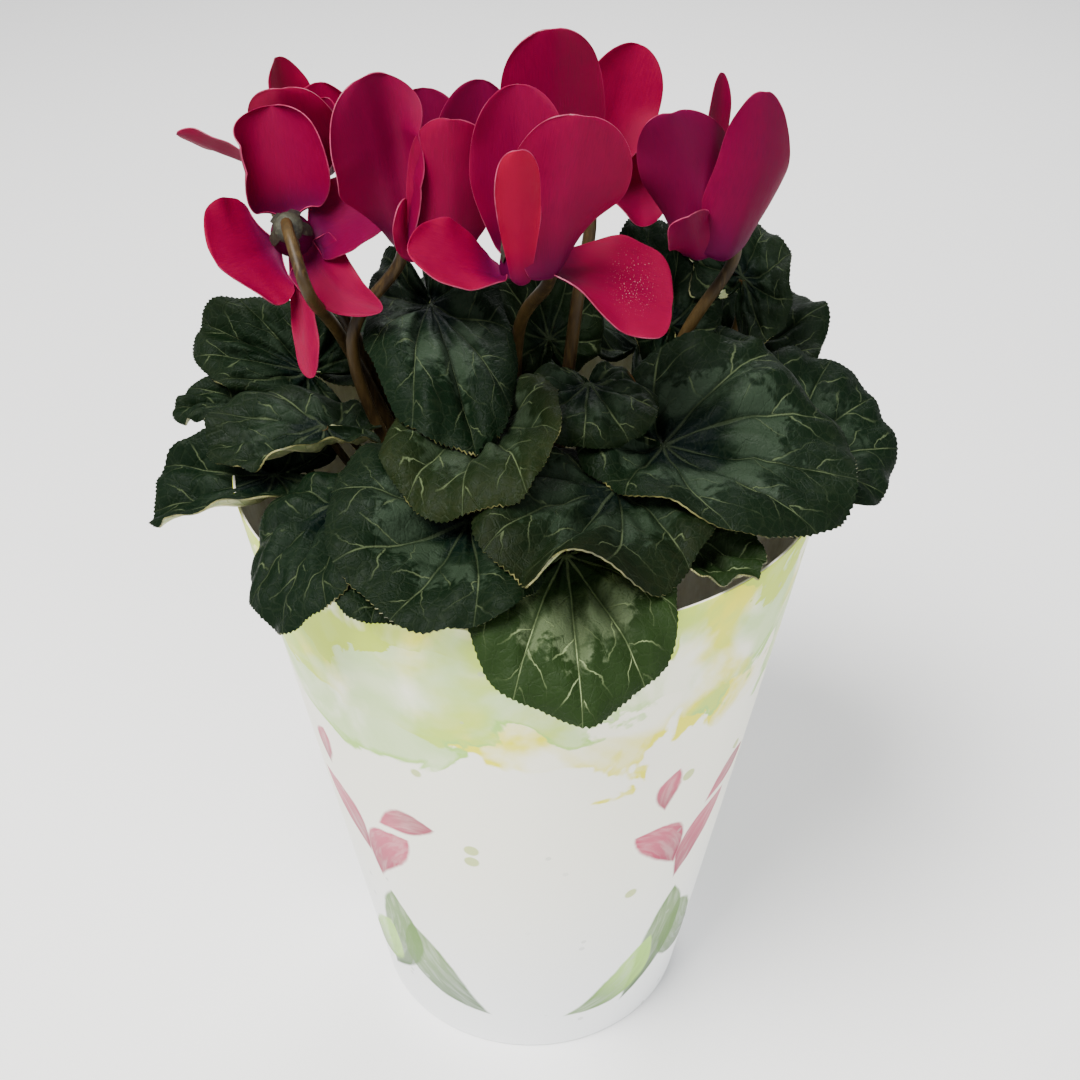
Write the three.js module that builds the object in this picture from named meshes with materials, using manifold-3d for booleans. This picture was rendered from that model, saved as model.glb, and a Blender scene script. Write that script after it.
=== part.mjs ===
// Potted cyclamen in a tapered card sleeve: pot, soil, tuber, heart-shaped leaves and nodding blooms.
// Millimetres, +Z up, the front of the plant faces -Y, the origin is the centre of the sleeve's base.
import * as THREE from 'three';
import { mergeVertices } from 'three/addons/utils/BufferGeometryUtils.js';
import Module from 'manifold-3d';

const wasm = await Module();
wasm.setup();

// Sleeve, pot and soil
const SLEEVE_HEIGHT = 215;
const SLEEVE_BASE_RADIUS = 55;
const SLEEVE_TOP_RADIUS = 89;
const SLEEVE_WALL = 0.9;
const SLEEVE_BASE = 1.2;
const SLEEVE_SIDES = 48;
const POT_HEIGHT = 116;
const POT_BASE_RADIUS = 47;
const POT_TOP_RADIUS = 66;
const POT_LIP_RADIUS = 69;
const POT_LIP_HEIGHT = 12;
const POT_WALL = 1.4;
const POT_SIDES = 32;
const CLEARANCE = 0.3;
const SOIL_TOP = 108;
const SOIL_RINGS = [52, 40];
const SOIL_UNEVEN = 1.6;
const SOIL_WAVE_X = 0.11;
const SOIL_WAVE_Y = 0.13;

// Tuber: a flattened corm half sunk in the soil, with one hole for each stem
const TUBER_RADIUS = 27;
const TUBER_LOW = 92;
const TUBER_HIGH = 120;
const TUBER_SIDES = 14;
const TUBER_ROWS = 10;
const HOLE_DEPTH = 6;
const HOLE_SIDES = 5;
const HOLE_SPACING = 2.95;
const GOLDEN_ANGLE = 137.508;

// A stem that goes this far out sideways, or farther, stands in one of the outermost holes
const FARTHEST_REACH = 75;

// Leaves
const BLADE_THICKNESS = 0.8;
const BLADE_RINGS = [0.4, 0.75, 1];
const BLADE_SPOKES = 16;
const PETIOLE_RADIUS = 1.5;
const PETIOLE_TAPER = 0.25;
const PETIOLE_SIDES = 5;
const PETIOLE_STEPS = 6;

// A petiole's two handles, as shares of its length
const PETIOLE_RISE = 0.4;
const PETIOLE_ARRIVAL = 0.26;
const PETIOLE_SETBACK = 0.08;

// Heart outline: the reach from the joint is largest at the tip and falls to a notch behind
const HEART_MEAN = 0.72;
const HEART_SWING = 0.26;
const HEART_POINT = 0.02;
const NOTCH_DEPTH = 0.93;
const NOTCH_WIDTH = 0.26;
const SCALLOP = 0.025;
const SCALLOPS = 9;
const WIDEST_OUTLINE = 0.745;
const CREST_POWER = 1.5;
const HUMP_TURN = 0.3;
const HUMP_WIDTH = 0.35;

// Blades are pressed apart along rays from this point, deep in the middle of the plant
const SPREAD_CENTRE = new THREE.Vector3(0, 0, 110);
const BLADE_GAP = 1.3;
const STEEPEST_FACTOR = 0.4;
const LIFT_SLOPE = 0.7;

// Blooms
const PETAL_THICKNESS = 0.8;
const PETAL_ROWS = [0, 0.14, 0.32, 0.54, 0.76, 0.94];
const PETAL_COLUMNS = [-1, 0, 1];
const TUBE_LENGTH = 9;
const TUBE_MOUTH_RADIUS = 6;
const TUBE_TOP_RADIUS = 4.4;
const TUBE_WALL = 1;
const TUBE_SIDES = 8;
const PETAL_TURN_RADIUS = 3.2;
const PETAL_START_ANGLE = 60;
const PETAL_STEPS = 60;
const PETAL_CUP = 0.16;
const PETAL_NECK = 0.3;
const STEM_RADIUS = 2;
const STEM_TIP_RADIUS = 1.5;
const STEM_SIDES = 5;

// Where a stalk starts to lean out, as shares of its way up and of its way out
const STALK_LEAN_HEIGHT = 0.3;
const STALK_LEAN_REACH = 0.2;
const CALYX_RADIUS = 4.3;
const CALYX_HEIGHT = 3;

const COLOURS = {
  sleeve: 0xf1f0e2,
  pot: 0x6b4a3a,
  soil: 0x2c211a,
  tuber: 0x5b4636,
  leaf: 0x24402c,
  petal: 0xb80d55,
  stem: 0x5a4630,
};

// Each leaf goes from its petiole's joint (hub) to its tip. bend turns the tip down, curl lifts both
// sides, fold makes a V along the midrib, wave ruffles the margin, crest raises a ring round the joint
// so that the margin droops, hump lifts the margin in an arch beside the tip. The list runs from the
// lowest leaves to the uppermost, which rest on them.
const LEAVES = [
  { name: 'leaf_back_left', hub: [-46, 44, 226], tip: [-76, 84, 219], width: 62, roll: 0,
    bend: 0.5, curl: 0.2, fold: 0.1, wave: 2.5, waves: 5, phase: 0.5, crest: 1 },
  { name: 'leaf_back_middle', hub: [-9, 48, 222], tip: [-12, 102, 220], width: 68, roll: 0,
    bend: 0.5, curl: 0.2, fold: 0.12, wave: 2.5, waves: 4, phase: 1.4, crest: 1.5 },
  { name: 'leaf_back_right', hub: [36, 50, 224], tip: [56, 92, 221], width: 62, roll: 0,
    bend: 0.5, curl: 0.2, fold: 0.1, wave: 2.5, waves: 5, phase: 2.6, crest: 1.5 },
  { name: 'leaf_left_dark', hub: [-38, 23, 226], tip: [-46, 41, 240], width: 28, roll: 0,
    bend: 0.3, curl: 0.3, fold: 0.1, wave: 2, waves: 4, phase: 0.7, crest: 1.5 },
  { name: 'leaf_right_back_low', hub: [67, 36, 230], tip: [87, 56, 242], width: 46, roll: 10,
    bend: 0.4, curl: 0.2, fold: 0.1, wave: 2, waves: 5, phase: 2.2, crest: 1.5 },
  { name: 'leaf_back_centre', hub: [43, 22, 246], tip: [34, 46, 270], width: 34, roll: 0,
    bend: 0.3, curl: 0.4, fold: 0.15, wave: 2, waves: 4, phase: 0.2, crest: 1.5 },
  { name: 'leaf_behind_blooms', hub: [6, 13, 246], tip: [-1, 28, 267], width: 38, roll: 0,
    bend: 0.5, curl: 0.2, fold: 0.1, wave: 2, waves: 4, phase: 2.1, crest: 3 },
  { name: 'leaf_front_rim', hub: [-34, -60, 222], tip: [-40, -87, 217], width: 40, roll: 0,
    bend: 0.4, curl: 0, fold: 0.1, wave: 1.5, waves: 4, phase: 1, crest: 1.5 },
  { name: 'leaf_left_boat', hub: [-73, -20, 218], tip: [-112, -20, 207], width: 40, roll: -14,
    bend: 0.1, curl: 0.8, fold: 0.3, wave: 1, waves: 4, phase: 2, crest: 0.5 },
  { name: 'leaf_left_low', hub: [-53, -47, 227], tip: [-63, -82, 210], width: 42, roll: 22,
    bend: 0.6, curl: -0.2, fold: 0.15, wave: 1.5, waves: 4, phase: 0.6, crest: 2 },
  { name: 'leaf_left_small', hub: [-78, 8, 223], tip: [-107, 4, 227], width: 27, roll: -20,
    bend: 0.5, curl: 0.5, fold: 0.1, wave: 1.5, waves: 4, phase: 0, crest: 0.5 },
  { name: 'leaf_left_back', hub: [-66, 20, 226], tip: [-102, 30, 244], width: 38, roll: -42,
    bend: 0.2, curl: 0.3, fold: 0.25, wave: 2.5, waves: 5, phase: 1.2, crest: 1.5 },
  { name: 'leaf_right_low', hub: [66, -34, 222], tip: [85, -47, 219], width: 28, roll: 0,
    bend: 0.5, curl: 0.2, fold: 0.1, wave: 2, waves: 4, phase: 0.5, crest: 1.5 },
  { name: 'leaf_right_outer', hub: [78, -6, 219], tip: [105, 12, 226], width: 56, roll: 36,
    bend: 0.5, curl: 0.2, fold: 0.1, wave: 2, waves: 4, phase: 0, crest: 2 },
  { name: 'leaf_right_tall', hub: [56, 24, 240], tip: [72, 44, 266], width: 44, roll: 0,
    bend: 0.3, curl: 0.3, fold: 0.2, wave: 2, waves: 4, phase: 1.9, crest: 1.5 },
  { name: 'leaf_right_round', hub: [52, -2, 236], tip: [65, 4, 252], width: 34, roll: 0,
    bend: 0.3, curl: 0.2, fold: 0.05, wave: 1, waves: 4, phase: 1.1, crest: 1.5 },
  { name: 'leaf_front_apron', hub: [10, -70, 226], tip: [14, -105, 199], width: 57, roll: 0,
    bend: 0.9, curl: -0.25, fold: 0.1, wave: 1.2, waves: 5, phase: 0.4, crest: 1 },
  { name: 'leaf_right_rim', hub: [41, -47, 221], tip: [59, -71, 220], width: 32, roll: 0,
    bend: -0.9, curl: 0.4, fold: 0.1, wave: 1, waves: 4, phase: 0.9, crest: 0 },
  { name: 'leaf_front_left', hub: [-15, -56, 224], tip: [-46, -70, 219], width: 70, roll: -18,
    bend: 0.3, curl: 0.35, fold: 0.1, wave: 2.2, waves: 4, phase: 0.8, crest: 3 },
  { name: 'leaf_front_wavy', hub: [24, -44, 229], tip: [4, -84, 218], width: 62, roll: 0,
    bend: 0.6, curl: -0.2, fold: 0, wave: 4, waves: 6, phase: -1.8, crest: 3,
    hump: 30 },
  { name: 'leaf_right_big', hub: [38, -26, 232], tip: [90, -36, 222], width: 62, roll: 15,
    bend: 0.4, curl: 0.1, fold: 0.15, wave: 5, waves: 4, phase: -0.7, crest: 3 },
  { name: 'leaf_left_narrow', hub: [-57, -14, 228], tip: [-88, -18, 220], width: 32, roll: 8,
    bend: 0.2, curl: 0.5, fold: 0.2, wave: 1.2, waves: 4, phase: 0.3, crest: 0.5 },
  { name: 'leaf_centre', hub: [17, -17, 247], tip: [15, -38, 238], width: 41, roll: 0,
    bend: 0.6, curl: -0.2, fold: 0, wave: 2.5, waves: 4, phase: 2, crest: 2.5 },
  { name: 'leaf_curly', hub: [-12, -24, 229], tip: [-14, -58, 217], width: 48, roll: 6,
    bend: 0.4, curl: 0.6, fold: 0.2, wave: 2, waves: 4, phase: 1.3, crest: 4 },
  { name: 'leaf_tall_centre', hub: [-28, 8, 257], tip: [-12, -35, 217], width: 39, roll: 0,
    bend: 0.4, curl: -0.3, fold: 0.05, wave: 2.5, waves: 4, phase: 0.1, crest: 2 },
];

// Each bloom: the mouth of its short tube, the axis from the mouth to the calyx, the side from which
// the stalk reaches the hook, where the stalk passes above the leaves, the stalk's last stretch as
// distances out from the axis and up along it, and five lobes. A lobe's lean is its angle from the
// axis: 0 is swept right back, 90 stands straight out.
const OVERHEAD_HOOK = [[12, -6], [9.5, 6], [8, 14], [4.2, 18.5], [0, 14.5]];
const FACING_HOOK = [[20, 20], [9, 20.5], [3.6, 18.5], [0, 14.5]];
const BLOOMS = [
  { name: 'left', mouth: [-66, 4, 283], axis: [0.05, -0.8, 0.6], stalkSide: 288, pass: [-54, 4, 250],
    hook: FACING_HOOK,
    lobes: [
      { azimuth: 98, lean: 62, twist: -10, length: 31, width: 32, curl: 10 },
      { azimuth: 14, lean: 54, twist: -25, length: 31, width: 26, curl: 12 },
      { azimuth: 212, lean: 42, twist: 5, length: 22, width: 36, curl: 10 },
      { azimuth: 279, lean: 72, twist: 30, length: 37, width: 8, curl: 6 },
      { azimuth: 318, lean: 58, twist: 0, length: 32, width: 18, curl: 8 },
    ] },
  { name: 'left_behind', mouth: [-65, 32, 291], axis: [-0.1, 0, 1], stalkSide: 212, pass: [-54, 13, 252],
    hook: OVERHEAD_HOOK,
    lobes: [
      { azimuth: 182, lean: 58, twist: 35, length: 34, width: 15, curl: 2 },
      { azimuth: 110, lean: 0, twist: 50, length: 34, width: 20, curl: 2 },
      { azimuth: 46, lean: 0, twist: 40, length: 27, width: 20, curl: 4 },
      { azimuth: 340, lean: 2, twist: 60, length: 26, width: 18, curl: 6 },
      { azimuth: 272, lean: 2, twist: -10, length: 34, width: 27, curl: 6 },
    ] },
  { name: 'middle_left', mouth: [-25, -13, 286.5], axis: [0, 0, 1], stalkSide: 146, pass: [-50, -7, 256],
    hook: OVERHEAD_HOOK,
    lobes: [
      { azimuth: 208, lean: 2, twist: 112, length: 54, width: 26, curl: 4 },
      { azimuth: 232, lean: 2, twist: 84, length: 22, width: 5, curl: 2 },
      { azimuth: 300, lean: 2, twist: -35, length: 44, width: 27, curl: 2 },
      { azimuth: 30, lean: 4, twist: 60, length: 48, width: 24, curl: 6 },
      { azimuth: 100, lean: 0, twist: -10, length: 44, width: 26, curl: 6 },
    ] },
  { name: 'front', mouth: [-1, -39, 293], axis: [0, 0, 1], stalkSide: 54, pass: [-3, 0, 254],
    hook: OVERHEAD_HOOK,
    lobes: [
      { azimuth: 268, lean: 3, twist: 20, length: 44, width: 12, curl: 2 },
      { azimuth: 330, lean: 4, twist: -60, length: 47, width: 31, curl: 5 },
      { azimuth: 5, lean: 104, twist: 35, length: 36, width: 30, curl: 2 },
      { azimuth: 94, lean: 0, twist: -4, length: 46, width: 26, curl: 2 },
      { azimuth: 200, lean: 58, twist: -25, length: 27, width: 24, curl: 4 },
    ] },
  { name: 'top', mouth: [10, 14, 293], axis: [0, 0, 1], stalkSide: 308, pass: [14, -2, 266],
    hook: OVERHEAD_HOOK,
    lobes: [
      { azimuth: 258, lean: 0, twist: 14, length: 54, width: 29, curl: 4 },
      { azimuth: 14, lean: 86, twist: 50, length: 26, width: 27, curl: 4 },
      { azimuth: 20, lean: 14, twist: 70, length: 44, width: 24, curl: 6 },
      { azimuth: 100, lean: 2, twist: -20, length: 42, width: 24, curl: 6 },
      { azimuth: 178, lean: 52, twist: -55, length: 48, width: 26, curl: 2 },
    ] },
  { name: 'right', mouth: [50, 1, 281], axis: [0.05, 0, 1], stalkSide: 40, pass: [46, 8, 250],
    hook: OVERHEAD_HOOK,
    lobes: [
      { azimuth: 215, lean: 10, twist: 60, length: 46, width: 30, curl: 4 },
      { azimuth: 245, lean: 30, twist: 50, length: 24, width: 15, curl: 4 },
      { azimuth: 297, lean: 0, twist: -20, length: 54, width: 26, curl: 3 },
      { azimuth: 90, lean: 0, twist: 40, length: 49, width: 9, curl: 2 },
      { azimuth: 120, lean: 0, twist: -30, length: 28, width: 16, curl: 6 },
    ] },
];

const degrees = (angle) => (angle * Math.PI) / 180;
const vector = (numbers) => new THREE.Vector3(numbers[0], numbers[1], numbers[2]);

// Indexed geometry from a list of points and a list of triangles
function solidFrom(points, triangles) {
  const positions = [];
  for (const point of points) positions.push(point.x, point.y, point.z);
  const geometry = new THREE.BufferGeometry();
  geometry.setAttribute('position', new THREE.Float32BufferAttribute(positions, 3));
  geometry.setIndex(triangles.flat());
  return geometry;
}

function toManifold(geometry) {
  const bare = geometry.clone();
  bare.deleteAttribute('normal');
  bare.deleteAttribute('uv');
  const welded = mergeVertices(bare, 1e-4);
  return new wasm.Manifold(new wasm.Mesh({
    numProp: 3,
    vertProperties: new Float32Array(welded.attributes.position.array),
    triVerts: new Uint32Array(welded.index.array),
  }));
}

// Geometry of a solid's largest body; where faces only just touch, a union can leave an empty sliver
function fromManifold(solid) {
  const bodies = solid.decompose().sort((one, other) => other.volume() - one.volume());
  const mesh = bodies[0].getMesh();
  const geometry = new THREE.BufferGeometry();
  geometry.setAttribute('position', new THREE.Float32BufferAttribute(mesh.vertProperties, 3));
  geometry.setIndex(Array.from(mesh.triVerts));
  return geometry;
}

// A rod with round section along a list of points, its radius given at each point
function sweptRod(points, radii, sides) {
  const count = points.length;
  const ringPoints = [];
  const triangles = [];
  let side = new THREE.Vector3(1, 0, 0);
  for (let i = 0; i < count; i += 1) {
    const ahead = points[Math.min(i + 1, count - 1)];
    const behind = points[Math.max(i - 1, 0)];
    const along = ahead.clone().sub(behind).normalize();
    side = side.clone().addScaledVector(along, -side.dot(along)).normalize();
    const across = along.clone().cross(side);
    for (let k = 0; k < sides; k += 1) {
      const angle = (2 * Math.PI * k) / sides;
      ringPoints.push(points[i].clone()
        .addScaledVector(side, radii[i] * Math.cos(angle))
        .addScaledVector(across, radii[i] * Math.sin(angle)));
    }
  }
  for (let i = 0; i < count - 1; i += 1) {
    for (let k = 0; k < sides; k += 1) {
      const next = (k + 1) % sides;
      const a = i * sides + k;
      const b = i * sides + next;
      triangles.push([a, b, b + sides], [a, b + sides, a + sides]);
    }
  }
  const first = ringPoints.length;
  ringPoints.push(points[0].clone(), points[count - 1].clone());
  const last = (count - 1) * sides;
  for (let k = 0; k < sides; k += 1) {
    const next = (k + 1) % sides;
    triangles.push([first, next, k], [first + 1, last + k, last + next]);
  }
  return solidFrom(ringPoints, triangles);
}

// Leaf blade: heart outline, frame and surface
function leafOutline(leaf, theta) {
  const heart = HEART_MEAN + HEART_SWING * Math.cos(theta) + HEART_POINT * Math.cos(2 * theta);
  const fromNotch = (Math.PI - Math.abs(theta)) / NOTCH_WIDTH;
  const notch = 1 - NOTCH_DEPTH * Math.exp(-fromNotch * fromNotch);
  const scallop = 1 + SCALLOP * Math.sin(SCALLOPS * theta + 3 * leaf.phase);
  return heart * notch * scallop;
}

function leafFrame(leaf) {
  const hub = vector(leaf.hub);
  const chord = vector(leaf.tip).sub(hub);
  const along = chord.clone().normalize();
  const side = new THREE.Vector3(-along.y, along.x, 0).normalize();
  side.applyAxisAngle(along, degrees(leaf.roll));
  const halfBend = leaf.bend / 2;
  const arcRatio = Math.abs(halfBend) < 0.01 ? 1 : halfBend / Math.sin(halfBend);
  const start = along.clone().applyAxisAngle(side, -halfBend);
  const up = start.clone().cross(side).normalize();
  return { hub, along: start, side, up, length: chord.length() * arcRatio };
}

// Position along a circular arc that turns through angle over a unit length
function arc(angle, distance) {
  if (Math.abs(angle) < 0.01) return [distance, 0];
  return [Math.sin(angle * distance) / angle, (1 - Math.cos(angle * distance)) / angle];
}

function bladePoint(leaf, frame, t, theta) {
  const reach = t * leafOutline(leaf, theta);
  const u = reach * Math.cos(theta);
  const v = (reach * Math.sin(theta)) / WIDEST_OUTLINE;
  const bend = u > 0 ? leaf.bend : 0.3 * leaf.bend;
  const halfWidth = leaf.width / 2;
  const [forward, drop] = arc(bend, u);
  const [sideways, rise] = arc(leaf.curl, v);
  const turned = bend * u;
  const crease = leaf.fold * (Math.sqrt(v * v + 0.02) - Math.sqrt(0.02));
  const ruffle = leaf.wave * t * t * t * Math.cos(leaf.waves * theta + leaf.phase);
  const crest = leaf.crest * Math.sin(Math.PI * t ** CREST_POWER);
  const arch = (leaf.hump ?? 0) * t * t * t * Math.exp(-(((theta - HUMP_TURN) / HUMP_WIDTH) ** 2));
  const height = halfWidth * (rise + crease) + ruffle + crest + arch;
  return frame.hub.clone()
    .addScaledVector(frame.along, frame.length * forward + height * Math.sin(turned))
    .addScaledVector(frame.up, height * Math.cos(turned) - frame.length * drop)
    .addScaledVector(frame.side, halfWidth * sideways);
}

// The middle surface of a blade: the hub first, then ring after ring
function bladeSheet(leaf) {
  const frame = leafFrame(leaf);
  const points = [frame.hub.clone()];
  for (const t of BLADE_RINGS) {
    for (let k = 0; k < BLADE_SPOKES; k += 1) {
      const theta = -Math.PI + (2 * Math.PI * k) / BLADE_SPOKES;
      points.push(bladePoint(leaf, frame, t, theta));
    }
  }
  return { points, triangles: sheetTriangles(BLADE_RINGS.length, BLADE_SPOKES) };
}

function sheetTriangles(rings, spokes) {
  const triangles = [];
  for (let k = 0; k < spokes; k += 1) {
    const next = (k + 1) % spokes;
    triangles.push([0, 1 + k, 1 + next]);
    for (let ring = 1; ring < rings; ring += 1) {
      const inner = 1 + (ring - 1) * spokes;
      const outer = inner + spokes;
      triangles.push([inner + k, outer + k, outer + next], [inner + k, outer + next, inner + next]);
    }
  }
  return triangles;
}

function sheetNormals(sheet) {
  const normals = sheet.points.map(() => new THREE.Vector3());
  for (const [a, b, c] of sheet.triangles) {
    const ab = sheet.points[b].clone().sub(sheet.points[a]);
    const ac = sheet.points[c].clone().sub(sheet.points[a]);
    const area = ab.cross(ac);
    for (const corner of [a, b, c]) normals[corner].add(area);
  }
  return normals.map((normal) => normal.normalize());
}

// A closed slab around a sheet whose margin vertices are listed in order
function slabAround(sheet, margin, thickness) {
  const normals = sheetNormals(sheet);
  const count = sheet.points.length;
  const points = [];
  for (const face of [0.5, -0.5]) {
    sheet.points.forEach((point, i) => {
      points.push(point.clone().addScaledVector(normals[i], face * thickness));
    });
  }
  const triangles = [];
  for (const [a, b, c] of sheet.triangles) {
    triangles.push([a, b, c], [c + count, b + count, a + count]);
  }
  for (let i = 0; i < margin.length; i += 1) {
    const a = margin[i];
    const b = margin[(i + 1) % margin.length];
    triangles.push([a, a + count, b + count], [a, b + count, b]);
  }
  return solidFrom(points, triangles);
}

// Distance along a ray from the spread centre to a triangle, or null where it misses
function rayDistance(direction, a, b, c) {
  const ab = b.clone().sub(a);
  const ac = c.clone().sub(a);
  const p = direction.clone().cross(ac);
  const determinant = ab.dot(p);
  if (Math.abs(determinant) < 1e-9) return null;
  const s = SPREAD_CENTRE.clone().sub(a);
  const u = s.dot(p) / determinant;
  if (u < -0.02 || u > 1.02) return null;
  const q = s.cross(ab);
  const v = direction.dot(q) / determinant;
  if (v < -0.02 || u + v > 1.02) return null;
  const distance = ac.dot(q) / determinant;
  return distance > 0 ? distance : null;
}

function bundleOf(sheet) {
  const mean = new THREE.Vector3();
  const directions = sheet.points.map((point) => point.clone().sub(SPREAD_CENTRE).normalize());
  for (const direction of directions) mean.add(direction);
  mean.normalize();
  const spread = Math.min(...directions.map((direction) => direction.dot(mean)));
  return { mean, angle: Math.acos(Math.max(-1, spread)), directions };
}

// How far each point of the upper sheet has to move out along its ray to clear the lower sheet
function liftsOver(upper, lower) {
  const lifts = upper.points.map(() => 0);
  const upperBundle = bundleOf(upper);
  const lowerBundle = bundleOf(lower);
  const apart = upperBundle.mean.angleTo(lowerBundle.mean);
  if (apart > upperBundle.angle + lowerBundle.angle) return lifts;
  const gapOn = (direction, a, b, c) => {
    const normal = b.clone().sub(a).cross(c.clone().sub(a)).normalize();
    return BLADE_GAP / Math.max(STEEPEST_FACTOR, Math.abs(normal.dot(direction)));
  };
  const probes = (sheet) => {
    const list = sheet.points.map((point, i) => ({ point, corners: [i] }));
    for (const [a, b, c] of sheet.triangles) {
      for (const [from, to] of [[a, b], [b, c], [c, a]]) {
        const middle = sheet.points[from].clone().add(sheet.points[to]).multiplyScalar(0.5);
        list.push({ point: middle, corners: [from, to] });
      }
    }
    return list;
  };
  for (const probe of probes(upper)) {
    const ray = probe.point.clone().sub(SPREAD_CENTRE);
    const here = ray.length();
    ray.normalize();
    if (ray.angleTo(lowerBundle.mean) > lowerBundle.angle + 0.03) continue;
    for (const [a, b, c] of lower.triangles) {
      const corners = [lower.points[a], lower.points[b], lower.points[c]];
      const hit = rayDistance(ray, ...corners);
      if (hit === null) continue;
      const need = hit + gapOn(ray, ...corners) - here;
      for (const corner of probe.corners) lifts[corner] = Math.max(lifts[corner], need);
    }
  }
  for (const probe of probes(lower)) {
    const ray = probe.point.clone().sub(SPREAD_CENTRE);
    const below = ray.length();
    ray.normalize();
    if (ray.angleTo(upperBundle.mean) > upperBundle.angle + 0.03) continue;
    for (const triangle of upper.triangles) {
      const corners = triangle.map((corner) => upper.points[corner]);
      const hit = rayDistance(ray, ...corners);
      if (hit === null) continue;
      const need = below + gapOn(ray, ...corners) - hit;
      for (const corner of triangle) lifts[corner] = Math.max(lifts[corner], need);
    }
  }
  return lifts;
}

// Lift a sheet over those beneath it, easing the lift off gently across the blade
function settle(sheet, beneath) {
  const lifts = sheet.points.map(() => 0);
  for (const lower of beneath) {
    liftsOver(sheet, lower).forEach((lift, i) => {
      lifts[i] = Math.max(lifts[i], lift);
    });
  }
  const eased = sheet.points.map((point) => {
    let most = 0;
    sheet.points.forEach((other, i) => {
      most = Math.max(most, lifts[i] - LIFT_SLOPE * point.distanceTo(other));
    });
    return most;
  });
  sheet.points.forEach((point, i) => {
    const outward = point.clone().sub(SPREAD_CENTRE).normalize();
    point.addScaledVector(outward, eased[i]);
  });
  return Math.max(...eased);
}

// The sleeve's outer wall near the rim, as a sheet that the leaves have to clear
function sleeveSheet() {
  const heights = [150, 190, SLEEVE_HEIGHT];
  const points = [];
  const triangles = [];
  const slope = (SLEEVE_TOP_RADIUS - SLEEVE_BASE_RADIUS) / SLEEVE_HEIGHT;
  for (const height of heights) {
    for (let k = 0; k < SLEEVE_SIDES; k += 1) {
      const angle = (2 * Math.PI * k) / SLEEVE_SIDES;
      const radius = SLEEVE_BASE_RADIUS + slope * height;
      points.push(new THREE.Vector3(radius * Math.cos(angle), radius * Math.sin(angle), height));
    }
  }
  for (let level = 0; level < heights.length - 1; level += 1) {
    for (let k = 0; k < SLEEVE_SIDES; k += 1) {
      const next = (k + 1) % SLEEVE_SIDES;
      const a = level * SLEEVE_SIDES + k;
      const b = level * SLEEVE_SIDES + next;
      triangles.push([a, b, b + SLEEVE_SIDES], [a, b + SLEEVE_SIDES, a + SLEEVE_SIDES]);
    }
  }
  return { points, triangles };
}

// Where each stem leaves the tuber: the uppermost leaves and the blooms stand nearest the middle
function crownSpots(count) {
  const spots = [];
  for (let i = 0; i < count; i += 1) {
    const radius = HOLE_SPACING * Math.sqrt(i + 0.6);
    const angle = i * degrees(GOLDEN_ANGLE);
    spots.push(new THREE.Vector3(radius * Math.cos(angle), radius * Math.sin(angle), 0));
  }
  return spots;
}

// Give every stem a spot under where it is going: spots are swapped while that brings two stems nearer
function assignSpots(targets) {
  const spots = crownSpots(targets.length);
  const reach = HOLE_SPACING * Math.sqrt(targets.length);
  const wanted = targets.map((target) => {
    const flat = new THREE.Vector3(target.x, target.y, 0).multiplyScalar(reach / FARTHEST_REACH);
    return flat.clampLength(0, reach);
  });
  const cost = (spot, i) => spot.distanceToSquared(wanted[i]);
  let swapped = true;
  while (swapped) {
    swapped = false;
    for (let i = 0; i < spots.length; i += 1) {
      for (let j = i + 1; j < spots.length; j += 1) {
        const now = cost(spots[i], i) + cost(spots[j], j);
        const then = cost(spots[j], i) + cost(spots[i], j);
        if (then < now - 1e-6) {
          [spots[i], spots[j]] = [spots[j], spots[i]];
          swapped = true;
        }
      }
    }
  }
  return spots;
}

const tuberTopAt = (radius) => {
  const middle = (TUBER_LOW + TUBER_HIGH) / 2;
  const half = (TUBER_HIGH - TUBER_LOW) / 2;
  return middle + half * Math.sqrt(Math.max(0, 1 - (radius / TUBER_RADIUS) ** 2));
};

function stemFoot(spot) {
  return new THREE.Vector3(spot.x, spot.y, tuberTopAt(spot.length()) - HOLE_DEPTH + CLEARANCE);
}

// A petiole stands straight up in its hole, then arches out and meets the blade from below
function petiolePoints(foot, hub, up, along) {
  const start = foot.clone();
  start.z += HOLE_DEPTH;
  const distance = start.distanceTo(hub);
  const low = start.clone();
  low.z += PETIOLE_RISE * distance;
  const arrival = up.clone().add(new THREE.Vector3(0, 0, 1)).normalize();
  const below = hub.clone()
    .addScaledVector(arrival, -PETIOLE_ARRIVAL * distance)
    .addScaledVector(along, -PETIOLE_SETBACK * distance);
  return [foot, ...new THREE.CubicBezierCurve3(start, low, below, hub).getPoints(PETIOLE_STEPS)];
}

function marginOf(rings, spokes) {
  const first = 1 + (rings - 1) * spokes;
  return Array.from({ length: spokes }, (_, k) => first + k);
}

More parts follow.
